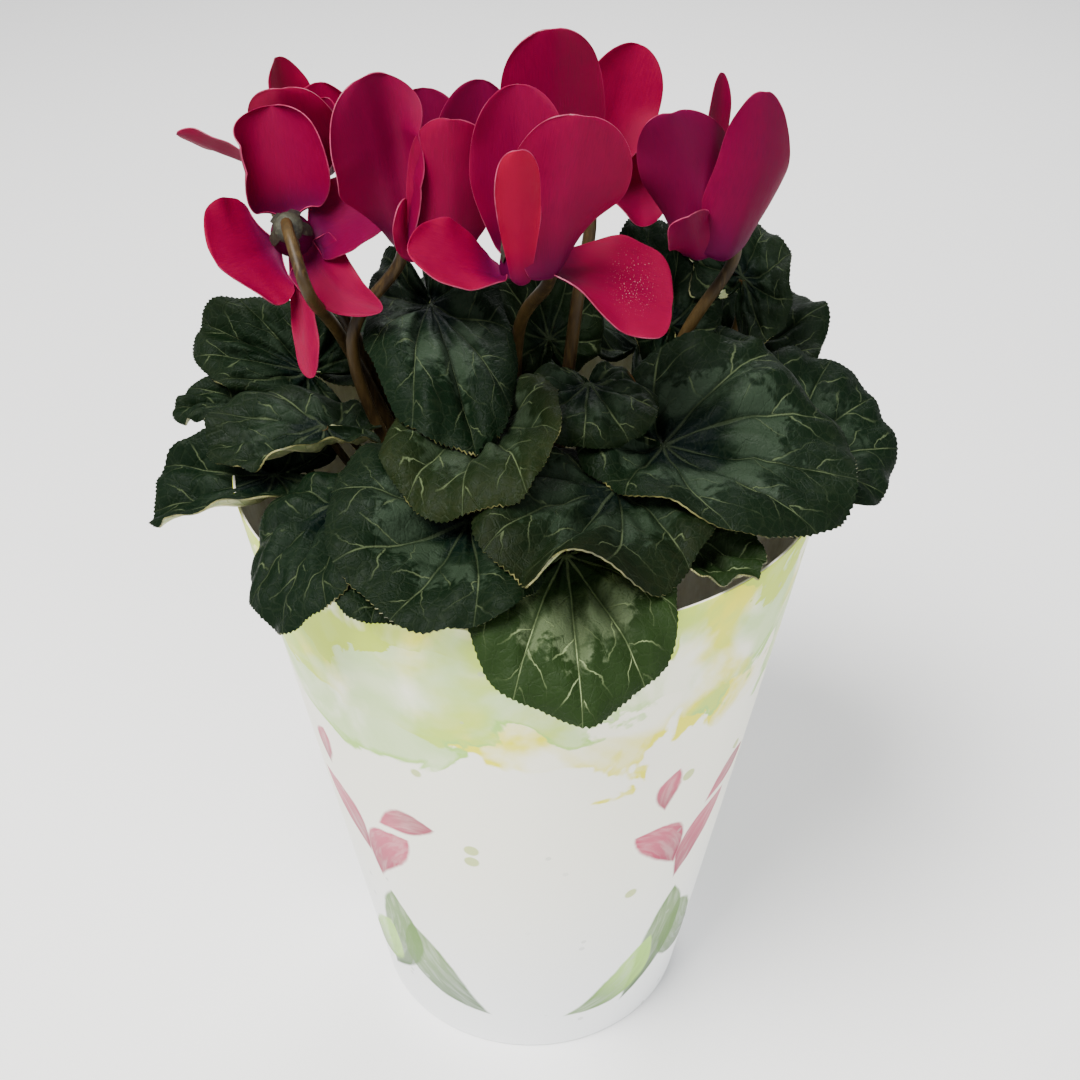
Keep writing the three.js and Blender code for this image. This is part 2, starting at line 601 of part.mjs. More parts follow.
// Petal lobe: its middle line turns back from the mouth of the tube, its blade twists like a propeller
function lobeLine(bloom, lobe, rows) {
  const radial = bloom.right.clone().multiplyScalar(Math.cos(degrees(lobe.azimuth)))
    .addScaledVector(bloom.back, Math.sin(degrees(lobe.azimuth)));
  const endAngle = degrees(180 - lobe.lean);
  const steps = PETAL_STEPS;
  const stepLength = lobe.length / steps;
  const line = [];
  let position = bloom.mouth.clone().addScaledVector(radial, TUBE_MOUTH_RADIUS - TUBE_WALL);
  let angle = degrees(PETAL_START_ANGLE);
  const turnStep = stepLength / PETAL_TURN_RADIUS;
  for (let i = 0; i <= steps; i += 1) {
    const along = bloom.axis.clone().multiplyScalar(-Math.cos(angle))
      .addScaledVector(radial, Math.sin(angle));
    const face = bloom.axis.clone().multiplyScalar(Math.sin(angle))
      .addScaledVector(radial, Math.cos(angle));
    line.push({ position: position.clone(), along, face });
    position = position.clone().addScaledVector(along, stepLength);
    const done = i / steps;
    if (angle < endAngle - turnStep && done < 0.5) angle += turnStep;
    else angle -= degrees(lobe.curl) / steps;
  }
  const cross = bloom.axis.clone().cross(radial);
  return rows.map((s) => ({ ...line[Math.round(s * steps)], cross, s }));
}

function lobeHalfWidth(lobe, s) {
  const swell = Math.min(1, s / 0.6);
  const neck = PETAL_NECK + (1 - PETAL_NECK) * swell * swell * (3 - 2 * swell);
  const past = Math.max(0, (s - 0.6) / 0.4);
  return (lobe.width / 2) * neck * Math.sqrt(Math.max(0, 1 - past ** 2.3));
}

function lobePoint(lobe, row, v) {
  const turned = Math.min(1, row.s * 1.5);
  const twist = degrees(lobe.twist) * turned * turned * (3 - 2 * turned);
  const sideways = row.cross.clone().multiplyScalar(Math.cos(twist))
    .addScaledVector(row.face, Math.sin(twist));
  const outward = row.face.clone().multiplyScalar(Math.cos(twist))
    .addScaledVector(row.cross, -Math.sin(twist));
  const half = lobeHalfWidth(lobe, row.s);
  return row.position.clone()
    .addScaledVector(sideways, half * v)
    .addScaledVector(outward, PETAL_CUP * half * v * v);
}

function lobeSolid(bloom, lobe) {
  const rows = lobeLine(bloom, lobe, [...PETAL_ROWS, 1]);
  const columns = PETAL_COLUMNS.length;
  const points = [];
  for (const row of rows.slice(0, -1)) {
    for (const v of PETAL_COLUMNS) points.push(lobePoint(lobe, row, v));
  }
  const tip = points.length;
  points.push(rows[rows.length - 1].position.clone());
  const triangles = [];
  for (let i = 0; i < rows.length - 2; i += 1) {
    for (let k = 0; k < columns - 1; k += 1) {
      const a = i * columns + k;
      triangles.push([a, a + columns, a + columns + 1], [a, a + columns + 1, a + 1]);
    }
  }
  const last = tip - columns;
  for (let k = 0; k < columns - 1; k += 1) triangles.push([last + k, tip, last + k + 1]);
  const margin = [];
  for (let i = 0; i < rows.length - 1; i += 1) margin.push(i * columns);
  margin.push(tip);
  for (let i = rows.length - 2; i >= 0; i -= 1) margin.push(i * columns + columns - 1);
  for (let k = columns - 2; k > 0; k -= 1) margin.push(k);
  return slabAround({ points, triangles }, margin, PETAL_THICKNESS);
}

// Turn a lathe's +Y axis to the bloom's axis and move it to the mouth
function placeOnAxis(geometry, bloom) {
  const turn = new THREE.Quaternion().setFromUnitVectors(new THREE.Vector3(0, 1, 0), bloom.axis);
  geometry.applyQuaternion(turn);
  geometry.translate(bloom.mouth.x, bloom.mouth.y, bloom.mouth.z);
  return geometry;
}

function corollaTube(bloom) {
  const profile = [
    [0, TUBE_LENGTH], [TUBE_TOP_RADIUS, TUBE_LENGTH], [TUBE_MOUTH_RADIUS, 0.4], [TUBE_MOUTH_RADIUS, -0.6],
    [TUBE_MOUTH_RADIUS - TUBE_WALL, -0.6], [TUBE_TOP_RADIUS - TUBE_WALL, TUBE_LENGTH - TUBE_WALL],
    [0, TUBE_LENGTH - TUBE_WALL],
  ];
  return placeOnAxis(lathe(profile, TUBE_SIDES), bloom);
}

// Revolve a profile of [radius, height] pairs and make its faces point outward
function lathe(profile, segments) {
  const points = profile.map(([radius, height]) => new THREE.Vector2(radius, height));
  const geometry = new THREE.LatheGeometry(points, segments);
  geometry.deleteAttribute('normal');
  geometry.deleteAttribute('uv');
  const solid = toManifold(geometry);
  if (solid.volume() > 0) return fromManifold(solid);
  const index = Array.from(geometry.index.array);
  for (let i = 0; i < index.length; i += 3) [index[i + 1], index[i + 2]] = [index[i + 2], index[i + 1]];
  geometry.setIndex(index);
  return fromManifold(toManifold(geometry));
}

// The same, standing up along +Z
function turned(profile, segments) {
  return lathe(profile, segments).rotateX(Math.PI / 2);
}

function bloomFrame(bloom) {
  const axis = vector(bloom.axis).normalize();
  const right = new THREE.Vector3(1, 0, 0);
  right.addScaledVector(axis, -right.dot(axis)).normalize();
  const back = axis.clone().cross(right);
  return { mouth: vector(bloom.mouth), axis, right, back };
}

// The stalk rises from the tuber, passes between two lobes and hooks over into the calyx
function stalkPoints(bloom, frame, foot) {
  const side = frame.right.clone().multiplyScalar(Math.cos(degrees(bloom.stalkSide)))
    .addScaledVector(frame.back, Math.sin(degrees(bloom.stalkSide)));
  const at = (out, high) => frame.mouth.clone()
    .addScaledVector(side, out)
    .addScaledVector(frame.axis, high);
  const pass = vector(bloom.pass);
  const mouth = foot.clone();
  mouth.z += HOLE_DEPTH;
  const low = mouth.clone().lerp(pass, STALK_LEAN_REACH);
  low.z = mouth.z + STALK_LEAN_HEIGHT * (pass.z - mouth.z);
  const calyxTop = TUBE_LENGTH + CLEARANCE + CALYX_HEIGHT;
  const hook = bloom.hook.map(([out, high]) => at(out, high));
  const way = [mouth, low, pass, ...hook, at(0, calyxTop - 1)];
  const curve = new THREE.CatmullRomCurve3(way, false, 'centripetal');
  return [foot, ...curve.getPoints(2 * (way.length - 1))];
}

function calyxCup(bloom) {
  const base = TUBE_LENGTH + CLEARANCE;
  const profile = [
    [0, base], [CALYX_RADIUS, base], [CALYX_RADIUS * 0.95, base + CALYX_HEIGHT * 0.5],
    [CALYX_RADIUS * 0.5, base + CALYX_HEIGHT], [0, base + CALYX_HEIGHT],
  ];
  return placeOnAxis(lathe(profile, TUBE_SIDES), bloom);
}

const group = new THREE.Group();
group.name = 'potted_cyclamen';

function addPart(name, geometry, colour, roughness) {
  geometry.computeVertexNormals();
  const material = new THREE.MeshStandardMaterial({ color: colour, roughness, metalness: 0 });
  const mesh = new THREE.Mesh(geometry, material);
  mesh.name = name;
  group.add(mesh);
}

// Card sleeve: a tapered cup with its base inside the wall
addPart('sleeve', turned([
  [0, 0], [SLEEVE_BASE_RADIUS, 0], [SLEEVE_TOP_RADIUS, SLEEVE_HEIGHT],
  [SLEEVE_TOP_RADIUS - SLEEVE_WALL, SLEEVE_HEIGHT], [SLEEVE_BASE_RADIUS - SLEEVE_WALL, SLEEVE_BASE],
  [0, SLEEVE_BASE],
], SLEEVE_SIDES), COLOURS.sleeve, 0.55);

// Nursery pot with a rolled lip
const potFloor = SLEEVE_BASE + CLEARANCE;
const potTop = potFloor + POT_HEIGHT;
addPart('nursery_pot', turned([
  [0, potFloor], [POT_BASE_RADIUS, potFloor], [POT_TOP_RADIUS, potTop - POT_LIP_HEIGHT],
  [POT_LIP_RADIUS, potTop - POT_LIP_HEIGHT], [POT_LIP_RADIUS, potTop], [POT_TOP_RADIUS - POT_WALL, potTop],
  [POT_BASE_RADIUS - POT_WALL, potFloor + POT_WALL], [0, potFloor + POT_WALL],
], POT_SIDES), COLOURS.pot, 0.6);

// Soil with an uneven top, hollowed for the tuber
const soilFloor = potFloor + POT_WALL + CLEARANCE;
const potInnerAt = (height) => {
  const share = (height - potFloor - POT_WALL) / (POT_HEIGHT - POT_WALL);
  return POT_BASE_RADIUS - POT_WALL + share * (POT_TOP_RADIUS - POT_BASE_RADIUS);
};
const tuberProfile = (grow) => {
  const profile = [];
  const middle = (TUBER_LOW + TUBER_HIGH) / 2;
  const half = (TUBER_HIGH - TUBER_LOW) / 2 + grow;
  for (let i = 0; i <= TUBER_ROWS; i += 1) {
    const angle = -Math.PI / 2 + (Math.PI * i) / TUBER_ROWS;
    profile.push([(TUBER_RADIUS + grow) * Math.cos(angle), middle + half * Math.sin(angle)]);
  }
  profile[0][0] = 0;
  profile[TUBER_ROWS][0] = 0;
  return profile;
};
const soilBlock = turned([
  [0, soilFloor], [potInnerAt(soilFloor) - CLEARANCE, soilFloor],
  [potInnerAt(SOIL_TOP) - CLEARANCE, SOIL_TOP],
  ...SOIL_RINGS.map((radius) => [radius, SOIL_TOP]), [0, SOIL_TOP],
], POT_SIDES);
const soilPositions = soilBlock.attributes.position;
for (let i = 0; i < soilPositions.count; i += 1) {
  const x = soilPositions.getX(i);
  const y = soilPositions.getY(i);
  const z = soilPositions.getZ(i);
  const heap = SOIL_UNEVEN * Math.sin(SOIL_WAVE_X * x + 1) * Math.cos(SOIL_WAVE_Y * y);
  if (z > SOIL_TOP - 1) soilPositions.setZ(i, z + heap);
}
const tuberHollow = toManifold(turned(tuberProfile(CLEARANCE), TUBER_SIDES));
addPart('soil', fromManifold(toManifold(soilBlock).subtract(tuberHollow)), COLOURS.soil, 0.95);

// Blades, settled from the lowest to the uppermost
const settled = [sleeveSheet()];
const blades = LEAVES.map((leaf) => {
  const sheet = bladeSheet(leaf);
  settle(sheet, settled);
  settled.push(sheet);
  return sheet;
});

// Stems: a spot on the tuber for every petiole and stalk
const bloomFrames = BLOOMS.map(bloomFrame);
const targets = [...BLOOMS.map((bloom) => vector(bloom.pass)), ...blades.map((sheet) => sheet.points[0])];
const spots = assignSpots(targets);

let tuber = toManifold(turned(tuberProfile(0), TUBER_SIDES));
spots.forEach((spot, i) => {
  const inner = (i < BLOOMS.length ? STEM_RADIUS : PETIOLE_RADIUS) + CLEARANCE;
  const radius = inner / Math.cos(Math.PI / HOLE_SIDES);
  const bottom = new THREE.Vector3(spot.x, spot.y, tuberTopAt(spot.length()) - HOLE_DEPTH);
  const top = new THREE.Vector3(spot.x, spot.y, TUBER_HIGH + 6);
  tuber = tuber.subtract(toManifold(sweptRod([bottom, top], [radius, radius], HOLE_SIDES)));
});
addPart('tuber', fromManifold(tuber), COLOURS.tuber, 0.9);

LEAVES.forEach((leaf, i) => {
  const sheet = blades[i];
  const frame = leafFrame(leaf);
  const foot = stemFoot(spots[BLOOMS.length + i]);
  const line = petiolePoints(foot, sheet.points[0], frame.up, frame.along);
  const radii = line.map((_, k) => PETIOLE_RADIUS * (1 - (PETIOLE_TAPER * k) / line.length));
  const margin = marginOf(BLADE_RINGS.length, BLADE_SPOKES);
  const blade = toManifold(slabAround(sheet, margin, BLADE_THICKNESS));
  const petiole = toManifold(sweptRod(line, radii, PETIOLE_SIDES));
  addPart(leaf.name, fromManifold(blade.add(petiole)), COLOURS.leaf, 0.6);
});

BLOOMS.forEach((bloom, i) => {
  const frame = bloomFrames[i];
  let corolla = toManifold(corollaTube(frame));
  for (const lobe of bloom.lobes) corolla = corolla.add(toManifold(lobeSolid(frame, lobe)));
  addPart(`corolla_${bloom.name}`, fromManifold(corolla), COLOURS.petal, 0.65);
  const line = stalkPoints(bloom, frame, stemFoot(spots[i]));
  const radii = line.map((_, k) => {
    const share = k / (line.length - 1);
    return STEM_RADIUS + (STEM_TIP_RADIUS - STEM_RADIUS) * share;
  });
  const stalk = toManifold(sweptRod(line, radii, STEM_SIDES)).add(toManifold(calyxCup(frame)));
  addPart(`stem_${bloom.name}`, fromManifold(stalk), COLOURS.stem, 0.6);
});

export default group;
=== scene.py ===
# %% [markdown]
# # A potted cyclamen in its card sleeve
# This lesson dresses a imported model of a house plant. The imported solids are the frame: they say where
# every leaf, bloom, stalk and pot is. Each cell replaces one kind of solid with a finer piece and
# gives it a finish. Everything is in metres, with +Z up and the front of the plant facing -Y.

# %% Tools and frame
import math

import bpy
import numpy as np
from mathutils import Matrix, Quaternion, Vector, noise
from mathutils.bvhtree import BVHTree


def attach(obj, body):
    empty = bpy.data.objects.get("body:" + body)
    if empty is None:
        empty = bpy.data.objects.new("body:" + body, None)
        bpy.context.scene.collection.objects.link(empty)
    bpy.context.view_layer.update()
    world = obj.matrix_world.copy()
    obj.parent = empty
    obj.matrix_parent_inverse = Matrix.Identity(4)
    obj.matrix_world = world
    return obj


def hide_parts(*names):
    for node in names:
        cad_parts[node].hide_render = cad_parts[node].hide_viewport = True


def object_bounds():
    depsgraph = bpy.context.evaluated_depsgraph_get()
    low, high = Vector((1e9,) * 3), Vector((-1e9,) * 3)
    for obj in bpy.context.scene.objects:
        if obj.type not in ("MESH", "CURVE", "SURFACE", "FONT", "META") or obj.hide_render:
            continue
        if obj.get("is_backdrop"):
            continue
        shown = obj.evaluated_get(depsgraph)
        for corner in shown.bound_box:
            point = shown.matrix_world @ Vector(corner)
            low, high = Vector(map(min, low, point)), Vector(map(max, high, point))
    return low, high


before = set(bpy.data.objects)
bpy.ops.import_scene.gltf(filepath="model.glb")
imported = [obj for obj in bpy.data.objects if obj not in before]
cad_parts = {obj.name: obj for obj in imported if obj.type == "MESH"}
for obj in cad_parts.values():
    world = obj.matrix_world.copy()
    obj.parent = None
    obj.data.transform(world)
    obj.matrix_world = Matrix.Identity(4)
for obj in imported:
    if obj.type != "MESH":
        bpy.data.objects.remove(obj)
cad_low, cad_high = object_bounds()
MM = 0.001
print("solids in the frame:", len(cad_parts))
print("frame size in mm:", [round(side / MM, 1) for side in cad_high - cad_low])

# %% [markdown]
# ## Camera
# The photograph looks down on the plant from about 35 degrees. A 50 mm lens on a 36 mm sensor, less
# than half a metre from the plant, gives the strong taper that the sleeve has there. The camera is
# made first, because every later choice is judged through it.

# %% Camera
CAMERA_PLACE = (3.36 * MM, -388.6 * MM, 454.8 * MM)
CAMERA_TILT = math.radians(90 - 35.1)

camera_data = bpy.data.cameras.new("camera")
camera_data.lens = 50
camera_data.sensor_width = 36
camera = bpy.data.objects.new("camera", camera_data)
camera.location = CAMERA_PLACE
camera.rotation_euler = (CAMERA_TILT, 0, 0)
bpy.context.scene.collection.objects.link(camera)
bpy.context.scene.camera = camera
print("camera height in mm:", round(camera.location.z / MM))

# %% [markdown]
# ## Working by hand in edit mode
# An operator acts on all that is selected. These helpers deselect everything first, then open one
# piece for editing, close it again, and apply its modifiers so that the mesh holds the final shape.

# %% Helpers for modelling


def pick(piece):
    bpy.ops.object.select_all(action="DESELECT")
    piece.select_set(True)
    bpy.context.view_layer.objects.active = piece


def primitive(add, **settings):
    """A new mesh at the origin, made by one of Blender's own add operators."""
    bpy.ops.object.select_all(action="DESELECT")
    add(location=(0, 0, 0), **settings)
    return bpy.context.object


def edit(piece):
    pick(piece)
    bpy.ops.object.mode_set(mode="EDIT")
    bpy.ops.mesh.select_all(action="SELECT")


def leave_edit():
    bpy.ops.object.mode_set(mode="OBJECT")


def apply_modifiers(piece):
    pick(piece)
    for modifier in list(piece.modifiers):
        bpy.ops.object.modifier_apply(modifier=modifier.name)


def thicken(piece, thickness, offset=0.0, back=0, rim=0):
    solidify = piece.modifiers.new("thickness", "SOLIDIFY")
    solidify.thickness = thickness
    solidify.offset = offset
    solidify.use_even_offset = False
    solidify.material_offset = back
    solidify.material_offset_rim = rim
    apply_modifiers(piece)


def smooth(piece, angle=40):
    pick(piece)
    bpy.ops.object.shade_smooth_by_angle(angle=math.radians(angle))


def coat(piece, *materials):
    piece.data.materials.clear()
    for material in materials:
        piece.data.materials.append(material)


def dress(piece, name, slot, *nodes):
    """Name a finished piece, let it ride on the one body and stand for its solids."""
    piece.name = name
    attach(piece, "root")
    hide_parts(*nodes)
    return piece

# %% [markdown]
# ## Building materials from nodes
# Every finish here is a small network of nodes on one Principled shader. What a node gives out is
# held as a Value. Arithmetic on a Value adds the maths nodes, fade makes a soft step of it, and
# mixed lays one colour over another, so that a finish reads like a recipe.

# %% Helpers for materials


def wire(node, inputs):
    """Give a node its inputs: each is what another node gives out, a colour or a number."""
    for key, given in inputs.items():
        socket = node.inputs[key]
        if isinstance(given, Value):
            node.id_data.links.new(given.socket, socket)
        elif isinstance(given, tuple) and len(socket.default_value) == 4:
            socket.default_value = (*given, 1)
        else:
            socket.default_value = given


def add_node(tree, kind, inputs, **settings):
    node = tree.nodes.new("ShaderNode" + kind)
    for name, setting in settings.items():
        setattr(node, name, setting)
    wire(node, inputs)
    return node


class Value:
    """What a node gives out. Arithmetic on it adds maths nodes to the same material."""

    def __init__(self, socket):
        self.socket = socket

    def node(self, kind, inputs, **settings):
        return add_node(self.socket.id_data, kind, inputs, **settings)

    def maths(self, operation, *others):
        node = self.node("Math", dict(enumerate((self, *others))), operation=operation)
        return Value(node.outputs[0])

    def __add__(self, other):
        return self.maths("ADD", other)

    def __sub__(self, other):
        return self.maths("SUBTRACT", other)

    def __mul__(self, other):
        return self.maths("MULTIPLY", other)

    def fade(self, start, end, low=0.0, high=1.0):
        """Low before start, high after end, and a soft step between them."""
        inputs = dict(enumerate((self, start, end, low, high)))
        return Value(self.node("MapRange", inputs, interpolation_type="SMOOTHSTEP").outputs[0])


def mixed(share, one, other):
    """One colour, with the other laid over it as far as the share says."""
    return Value(share.node("Mix", {0: share, 6: one, 7: other}, data_type="RGBA").outputs[2])


def cloud(place, scale, detail=3.0, distortion=0.0):
    inputs = {"Vector": place, "Scale": scale, "Detail": detail, "Distortion": distortion}
    return Value(place.node("TexNoise", inputs).outputs[0])


def new_material(name, roughness):
    material = bpy.data.materials.new(name)
    material.use_nodes = True
    shader = material.node_tree.nodes["Principled BSDF"]
    wire(shader, {"Roughness": roughness})
    return material, shader


def own_place(shader):
    return Value(add_node(shader.id_data, "TexCoord", {}).outputs["Object"])


def relief(shader, height, depth, strength=1.0):
    bump = height.node("Bump", {"Distance": depth, "Strength": strength, "Height": height})
    wire(shader, {"Normal": Value(bump.outputs[0])})

# %% [markdown]
# ## Card sleeve
# The sleeve is card, printed flat, rolled into a cone and glued along one lap at the back.
# A cone primitive would give one sharp flat-shaded shell. Instead a circle is extruded upwards and
# widened ring by ring, as the card is rolled. Solidify gives it the card's thickness inwards, and a
# small bevel softens the cut rim. The lap at the back is the outermost layer, pushed out a little.

# %% Sleeve shape
SLEEVE_BASE = 55
SLEEVE_TOP = 89
SLEEVE_HEIGHT = 215
SLEEVE_WALL = 0.9
SLEEVE_FOOT_ROUND = 0.8
SLEEVE_SIDES = 240
SLEEVE_LEVELS = [SLEEVE_FOOT_ROUND, 3, 30, 60, 90, 120, 150, 180, 205, SLEEVE_HEIGHT]
LAP_START = 96
LAP_END = 104
LAP_STEP = 0.3
RIM_BEVEL = 0.25


def sleeve_radius(height):
    return SLEEVE_BASE + (SLEEVE_TOP - SLEEVE_BASE) * height / SLEEVE_HEIGHT


before = 0
radius = SLEEVE_BASE - SLEEVE_FOOT_ROUND
sleeve = primitive(
    bpy.ops.mesh.primitive_circle_add, vertices=SLEEVE_SIDES, radius=radius * MM, fill_type="NGON")
edit(sleeve)
for height in SLEEVE_LEVELS:
    wider = sleeve_radius(height) / radius
    if before == 0:
        bpy.ops.mesh.select_mode(type="EDGE")
    bpy.ops.mesh.extrude_edges_move(
        TRANSFORM_OT_translate={"value": (0, 0, (height - before) * MM)})
    bpy.ops.transform.resize(value=(wider, wider, 1), center_override=(0, 0, 0))
    before = height
    radius = sleeve_radius(height)
leave_edit()
for corner in sleeve.data.vertices:
    turn = math.degrees(math.atan2(corner.co.y, corner.co.x))
    if LAP_START <= turn <= LAP_END and corner.co.z > 0:
        outward = Vector((corner.co.x, corner.co.y, 0)).normalized()
        corner.co += outward * LAP_STEP * MM
edit(sleeve)
bpy.ops.mesh.normals_make_consistent(inside=False)
leave_edit()
thicken(sleeve, SLEEVE_WALL * MM, offset=-1)
bevel = sleeve.modifiers.new("cut rim", "BEVEL")
bevel.width = RIM_BEVEL * MM
bevel.segments = 2
bevel.limit_method = "ANGLE"
bevel.angle_limit = math.radians(50)
apply_modifiers(sleeve)
smooth(sleeve, 35)
print("sleeve faces:", len(sleeve.data.polygons))

# %% [markdown]
# ### Washes on the sleeve
# The print is a plain pattern of watercolour on warm white. Three layers of yellow and green wash hang
# from the rim, each with a frayed, slightly darker drying edge. A wash begins where the height passes
# a cloudy limit. Height and angle round the sleeve are both read from Object coordinates.

# %% Sleeve washes
WARM_WHITE = (0.96, 0.95, 0.82)
COOL_WHITE = (0.94, 0.955, 0.96)
WASH_YELLOW = (0.80, 0.76, 0.02)
WASH_LIME = (0.50, 0.64, 0.04)
WASH_GREEN = (0.36, 0.62, 0.12)
WASHES = [
    ((0.0, 0.0, 0.0), 12, 60, 190, WASH_YELLOW, 1.35),
    ((0.31, 0.17, 0.05), 17, 84, 170, WASH_GREEN, 0.8),
    ((0.12, 0.44, 0.20), 24, 120, 150, WASH_LIME, 1.25),
]
CONE_WIDENING = (SLEEVE_TOP - SLEEVE_BASE) / SLEEVE_HEIGHT

card, shader = new_material("printed_card", 0.42)
place = own_place(shader)
split = place.node("SeparateXYZ", {0: place}).outputs
height_mm = Value(split[2]) * 1000
angle = Value(split[1]).maths("ARCTAN2", Value(split[0]))
radius_mm = height_mm * CONE_WIDENING + SLEEVE_BASE
fray = cloud(place, 75, 5, 0.8)
pigment = cloud(place, 38, 6, 1.2)
# Painted cool shade: the card turns a cooler white towards its foot.
paint = mixed(height_mm.fade(10, 130), COOL_WHITE, WARM_WHITE)


def mapped(place, **change):
    """The same place moved or stretched, so that a pattern is read elsewhere or drawn out."""
    return Value(place.node("Mapping", {"Vector": place, **change}).outputs[0])


def wash(paint, shift, scale, lowest, spread, colour, strength):
    """A layer of thin paint that hangs from the rim down to a frayed edge, in mm."""
    there = mapped(place, Location=shift)
    inside = height_mm - (cloud(there, scale, 5, 0.7) * spread + lowest + fray * 9)
    share = inside.fade(0, 2.5) * inside.fade(1.5, 7, 1.3, 0.85)
    share = share * cloud(there, scale * 1.7, 4, 0.5).fade(0.40, 0.56, 0.08, 1.0)
    share = share * pigment.fade(0.3, 0.7, 0.75, 1.1) * strength
    return mixed(share.maths("MINIMUM", 1), paint, colour)


for row in WASHES:
    paint = wash(paint, *row)
print("sleeve washes:", len(WASHES))

# %% [markdown]
# ### Brush strokes on the sleeve
# A stroke of a loaded brush is pointed at both ends and streaked along its length. It could be drawn
# on a picture, but a formula stays sharp at any size: a stroke is where a bent strip along its own
# line is wide enough. Only the share of a quarter turn is read, so one tuft appears four times.

# %% Brush strokes
STROKE_PINK = (0.30, 0.001, 0.05)
STROKE_ROSE = (0.46, 0.012, 0.085)
STROKE_GREEN = (0.035, 0.10, 0.01)
STROKE_SAGE = (0.10, 0.21, 0.03)
QUARTERS = 4
STROKES = [
    (0.00, 44, 76, 30, 10, -6, STROKE_GREEN, STROKE_SAGE, 1.0),
    (-0.14, 36, 122, 25, 11, 8, STROKE_GREEN, STROKE_SAGE, 0.95),
    (0.15, 30, 46, 23, 9, -8, STROKE_SAGE, WASH_GREEN, 1.0),
    (-0.04, 98, 60, 19, 8, 5, STROKE_PINK, STROKE_ROSE, 1.0),
    (0.09, 106, 128, 17, 8, -5, STROKE_PINK, STROKE_ROSE, 1.0),
    (-0.14, 120, 24, 13, 6, 3, STROKE_ROSE, STROKE_PINK, 0.95),
    (0.13, 134, 82, 10, 5, 2, STROKE_PINK, STROKE_ROSE, 0.95),
]


def stroke(paint, turn, high, tilt, long, wide, bow, dark, light, strength):
    """One curved brush stroke, pointed at both ends and streaked lengthwise, in each quarter."""
    quarter = (angle * (QUARTERS / (2 * math.pi)) + (turn + 20)).maths("FRACT") - 0.5
    across = quarter * (radius_mm * (2 * math.pi / QUARTERS))
    up = height_mm - high
    cos_tilt = math.cos(math.radians(tilt))
    sin_tilt = math.sin(math.radians(tilt))
    along = across * cos_tilt + up * sin_tilt
    way = (along * (1 / long)).maths("MINIMUM", 1.5).maths("MAXIMUM", -1.5)
    squared = way * way
    beside = across * -sin_tilt + up * cos_tilt + squared * bow + fray * 2.4 - 1.2
    room = (squared * -1 + 1) * (way * 0.35 + 1) * wide
    inside = room - beside.maths("ABSOLUTE")
    lane = along.node("CombineXYZ", {0: along * 0.05, 1: beside * 0.3, 2: 7.3 * turn + tilt})
    hair = cloud(Value(lane.outputs[0]), 1.6, 4, 0.3)
    colour = mixed((hair * 0.8 + way).fade(-0.2, 0.9), dark, light)
    share = inside.fade(0, 1.6) * inside.fade(0.8, 4.0, 1.0, 0.93) * hair.fade(0.3, 0.6, 0.84, 1.0)
    return mixed(share * strength, paint, colour)


for row in STROKES:
    paint = stroke(paint, *row)
print("strokes in each quarter:", len(STROKES))

# %% [markdown]
# ### Drops, flecks and the bare inside
# Spots round the centres of random cells are the drops and flecks that fall from a brush. Inside, the
# card is not printed: it is matt board with fibres. The faces there are found by their distance from
# the axis, and get this second material.

# %% Drops and bare card
DROP_OLIVE = (0.36, 0.46, 0.03)
FLECK_GREY = (0.42, 0.45, 0.40)
BOARD_GREY = (0.72, 0.69, 0.58)
BOARD_CREAM = (0.82, 0.80, 0.70)
BOARD_STAIN = (0.60, 0.55, 0.42)
BARE_ABOVE = 1.5


def scattered(paint, scale, size, seldom, colour, strength):
    """Small spots round the centres of random cells, in a few of the cells only."""
    found = place.node("TexVoronoi", {"Vector": place, "Scale": scale}).outputs
    spot = Value(found["Distance"]).fade(size * 0.75, size, 1, 0)
    tint = place.node("SeparateColor", {0: Value(found["Color"])})
    chosen = Value(tint.outputs[0]).fade(seldom, seldom + 0.02)
    return mixed(spot * chosen * strength, paint, colour)


def bare_card():
    """The unprinted inside of the sleeve: matt board with fibres."""
    material, shader = new_material("bare_card", 0.8)
    place = own_place(shader)
    fibre = cloud(mapped(place, Scale=(1, 1, 0.3)), 420, 5, 0.5)
    colour = mixed(fibre.fade(0.3, 0.7), BOARD_GREY, BOARD_CREAM)
    colour = mixed(cloud(place, 26, 3).fade(0.45, 0.75, 0, 0.4), colour, BOARD_STAIN)
    wire(shader, {"Base Color": colour})
    relief(shader, fibre, 0.05 * MM, 0.6)
    return material


paint = scattered(paint, 62, 0.17, 0.86, DROP_OLIVE, 0.7)
paint = scattered(paint, 170, 0.2, 0.9, FLECK_GREY, 0.4)
wire(shader, {"Base Color": paint, "Roughness": cloud(place, 60, 4).fade(0.3, 0.7, 0.36, 0.5),
              "Specular IOR Level": 0.15})
relief(shader, cloud(place, 900, 4) + fray * 0.4, 0.02 * MM, 0.5)
coat(sleeve, card, bare_card())
bare_faces = 0
for face in sleeve.data.polygons:
    middle = face.center / MM
    wall_middle = sleeve_radius(middle.z) - SLEEVE_WALL / 2
    face.material_index = int(middle.z > BARE_ABOVE and math.hypot(middle.x, middle.y) < wall_middle)
    bare_faces += face.material_index
dress(sleeve, "card_sleeve", "sleeve_card", "sleeve")
print("faces of bare card:", bare_faces)

# %% [markdown]
# ## Nursery pot
# A thin pot of moulded plastic stands inside the sleeve. It is a turned shape, so its profile is
# drawn once and spun round the axis: foot, tapered wall, rolled lip and inner wall.

